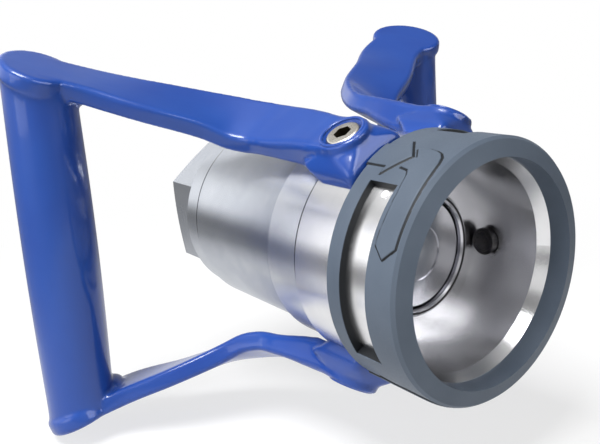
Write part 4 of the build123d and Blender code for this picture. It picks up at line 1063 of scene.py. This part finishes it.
# What a mirror meets: (share of 3 m across the floor, brightness) and (sine of the height angle, brightness)
FLOOR_REACH = 3.0
FLOOR_TONES = [(0.0, 0.95), (0.13, 1.0), (0.20, 0.42), (0.32, 0.30), (0.7, 0.34), (0.95, 0.5)]
WALL_TONES = [(0.0, 0.50), (0.07, 1.0), (0.38, 1.0), (0.49, 0.42), (0.70, 0.30), (0.95, 0.60)]
# Shares of that brightness in front of the object, behind it and on its right, and where they change
FRONT_SHARE, BACK_SHARE, FRONT_AT, BACK_AT = 0.65, 1.45, -0.35, 0.25
RIGHT_SHARE, SHADE_FROM, SHADE_TO = 0.4, 0.15, 0.5
# Soft boxes: direction, half angle in degrees, brightness
SOFT_BOXES = [((0.0, -0.83, 0.555), 13.0, 6.0), ((-0.28, -0.10, 0.955), 15.0, 5.0),
              ((0.36, -0.85, 0.38), 24.0, 5.0)]


def greys(tones):
    """Stops of a colour ramp from (position, brightness) pairs."""
    return [(position, (level, level, level, 1.0)) for position, level in tones]


def seen_directly(tree, path):
    """1 for rays from the camera, a glossy surface or glass, 0 for rays that carry soft light."""
    first = add_node(tree, "ShaderNodeMath", {"operation": "MAXIMUM"}, i0=path.outputs["Is Camera Ray"],
                     i1=path.outputs["Is Glossy Ray"])
    return add_node(tree, "ShaderNodeMath", {"operation": "MAXIMUM"}, i0=first,
                    i1=path.outputs["Is Transmission Ray"])


print("room:", len(FLOOR_TONES), "tones on the floor,", len(WALL_TONES), "on the walls")

# %% [markdown]
# The floor is one square at the height of the object's lowest point. Its material asks what kind of ray has
# met it: the camera's rays meet a near white, a mirror's rays meet the floor's tones, and light meets a matte
# surface that takes the shadow.

# %% Floor


def make_floor(height):
    """Square floor at a height, in metres. A ray that carries light gets the matte surface alone. The camera
    gets a mix with white, whose share grows with distance, so the object's shadow fades out."""
    half = FLOOR_SIZE / 2
    mesh = bpy.data.meshes.new("floor")
    corners = [(-half, -half, height), (half, -half, height), (half, half, height), (-half, half, height)]
    mesh.from_pydata(corners, [], [(0, 1, 2, 3)])
    floor = bpy.data.objects.new("floor", mesh)
    bpy.context.collection.objects.link(floor)
    material, tree, principled, where = start_material(
        "studio_floor", Roughness=FLOOR_ROUGHNESS, Base_Color=linear(FLOOR_COLOUR))
    path = add_node(tree, "ShaderNodeLightPath")
    mirror = path.outputs["Is Glossy Ray"]
    away = add_node(tree, "ShaderNodeVectorMath", {"operation": "LENGTH"}, i0=where).outputs["Value"]
    white_share = add_node(tree, "ShaderNodeMapRange", i0=away, i1=NEAR_DISTANCE, i2=FAR_DISTANCE,
                           i3=NEAR_WHITE, i4=FAR_WHITE)
    share = add_node(tree, "ShaderNodeMath", {"operation": "MULTIPLY"}, i0=seen_directly(tree, path),
                     i1=white_share)
    share = add_node(tree, "ShaderNodeMath", {"operation": "MAXIMUM"}, i0=share, i1=mirror)
    distance = add_node(tree, "ShaderNodeMapRange", i0=away, i1=0.0, i2=FLOOR_REACH)
    glow = add_node(tree, "ShaderNodeValToRGB", stops=greys(FLOOR_TONES), i0=distance)
    strength = add_node(tree, "ShaderNodeMix", i0=mirror, i2=1.0, i3=glow)
    white = add_node(tree, "ShaderNodeEmission", Color=linear("#FFFFFF"), Strength=strength)
    mix = add_node(tree, "ShaderNodeMixShader", i0=share, i1=principled, i2=white)
    set_inputs(tree, tree.nodes["Material Output"], Surface=mix)
    mesh.materials.append(material)
    return floor


floor = make_floor(cad_box[0][2])
print("floor at", round(cad_box[0][2], 4))

# %% [markdown]
# The world is one shader too, with three answers: white to the camera, a soft change from left to right for
# light, and for mirrors the bands of the walls with the soft boxes on top.

# %% World


def make_world():
    """White to the camera and glass, soft from left to right as light, and banded where a mirror looks: the
    tone of the height, times the share of front or back and of the right, plus the soft boxes."""
    world = bpy.data.worlds.new("studio")
    bpy.context.scene.world = world
    world.use_nodes = True
    tree = world.node_tree
    direction = add_node(tree, "ShaderNodeTexCoord").outputs["Generated"]
    look = add_node(tree, "ShaderNodeSeparateXYZ", i0=direction)
    path = add_node(tree, "ShaderNodeLightPath")
    soft = add_node(tree, "ShaderNodeMapRange", i0=look.outputs["X"], i1=LEFT_AT, i2=RIGHT_AT, i3=LEFT_LIGHT,
                    i4=RIGHT_LIGHT)
    even = add_node(tree, "ShaderNodeMix", i0=seen_directly(tree, path), i2=soft, i3=1.0)
    height = add_node(tree, "ShaderNodeMapRange", i0=look.outputs["Z"])
    bands = add_node(tree, "ShaderNodeValToRGB", stops=greys(WALL_TONES), i0=height)
    depth = add_node(tree, "ShaderNodeMapRange", i0=look.outputs["Y"], i1=FRONT_AT, i2=BACK_AT,
                     i3=FRONT_SHARE, i4=BACK_SHARE)
    right = add_node(tree, "ShaderNodeMapRange", i0=look.outputs["X"], i1=SHADE_FROM, i2=SHADE_TO, i3=1.0,
                     i4=RIGHT_SHARE)
    room = add_node(tree, "ShaderNodeMath", {"operation": "MULTIPLY"}, i0=depth, i1=right)
    seen = add_node(tree, "ShaderNodeMath", {"operation": "MULTIPLY"}, i0=bands, i1=room)
    for box_direction, half_angle, brightness in SOFT_BOXES:
        toward = add_node(tree, "ShaderNodeVectorMath", {"operation": "DOT_PRODUCT"}, i0=direction,
                          i1=box_direction).outputs["Value"]
        edge = math.cos(math.radians(half_angle))
        box = add_node(tree, "ShaderNodeMapRange", i0=toward, i1=edge, i2=(1 + edge) / 2, i3=0.0,
                       i4=brightness)
        seen = add_node(tree, "ShaderNodeMath", {"operation": "ADD"}, i0=seen, i1=box)
    strength = add_node(tree, "ShaderNodeMix", i0=path.outputs["Is Glossy Ray"], i2=even, i3=seen)
    set_inputs(tree, tree.nodes["Background"], Color=linear("#FFFFFF"), Strength=strength)
    return world


print("world:", make_world().name)

# %% [markdown]
# Two area lamps light the matte pieces. The large one above gives the round pieces their soft tops, and the
# weak one lifts the side that faces left.

# %% Lamps
AIM = Vector((0.0, 0.10, 0.0))


def make_lamp(name, place, size, power):
    """White rectangular lamp of a size in metres and a power in watts, turned towards the coupling."""
    data = bpy.data.lights.new(name, "AREA")
    data.shape = "RECTANGLE"
    data.size, data.size_y = size
    data.energy = power
    lamp = bpy.data.objects.new(name, data)
    bpy.context.collection.objects.link(lamp)
    turn = (AIM - Vector(place)).to_track_quat("-Z", "Y").to_matrix().to_4x4()
    lamp.matrix_world = Matrix.Translation(place) @ turn
    return lamp


key = make_lamp("key", place=(-0.7, 0.0, 1.5), size=(0.8, 0.8), power=44.0)
fill = make_lamp("fill", place=(-1.5, 0.15, 0.35), size=(1.0, 0.8), power=5.0)
bpy.context.scene.view_settings.view_transform = "Standard"
print("lamps:", key.name, key.data.energy, "W,", fill.name, fill.data.energy, "W")
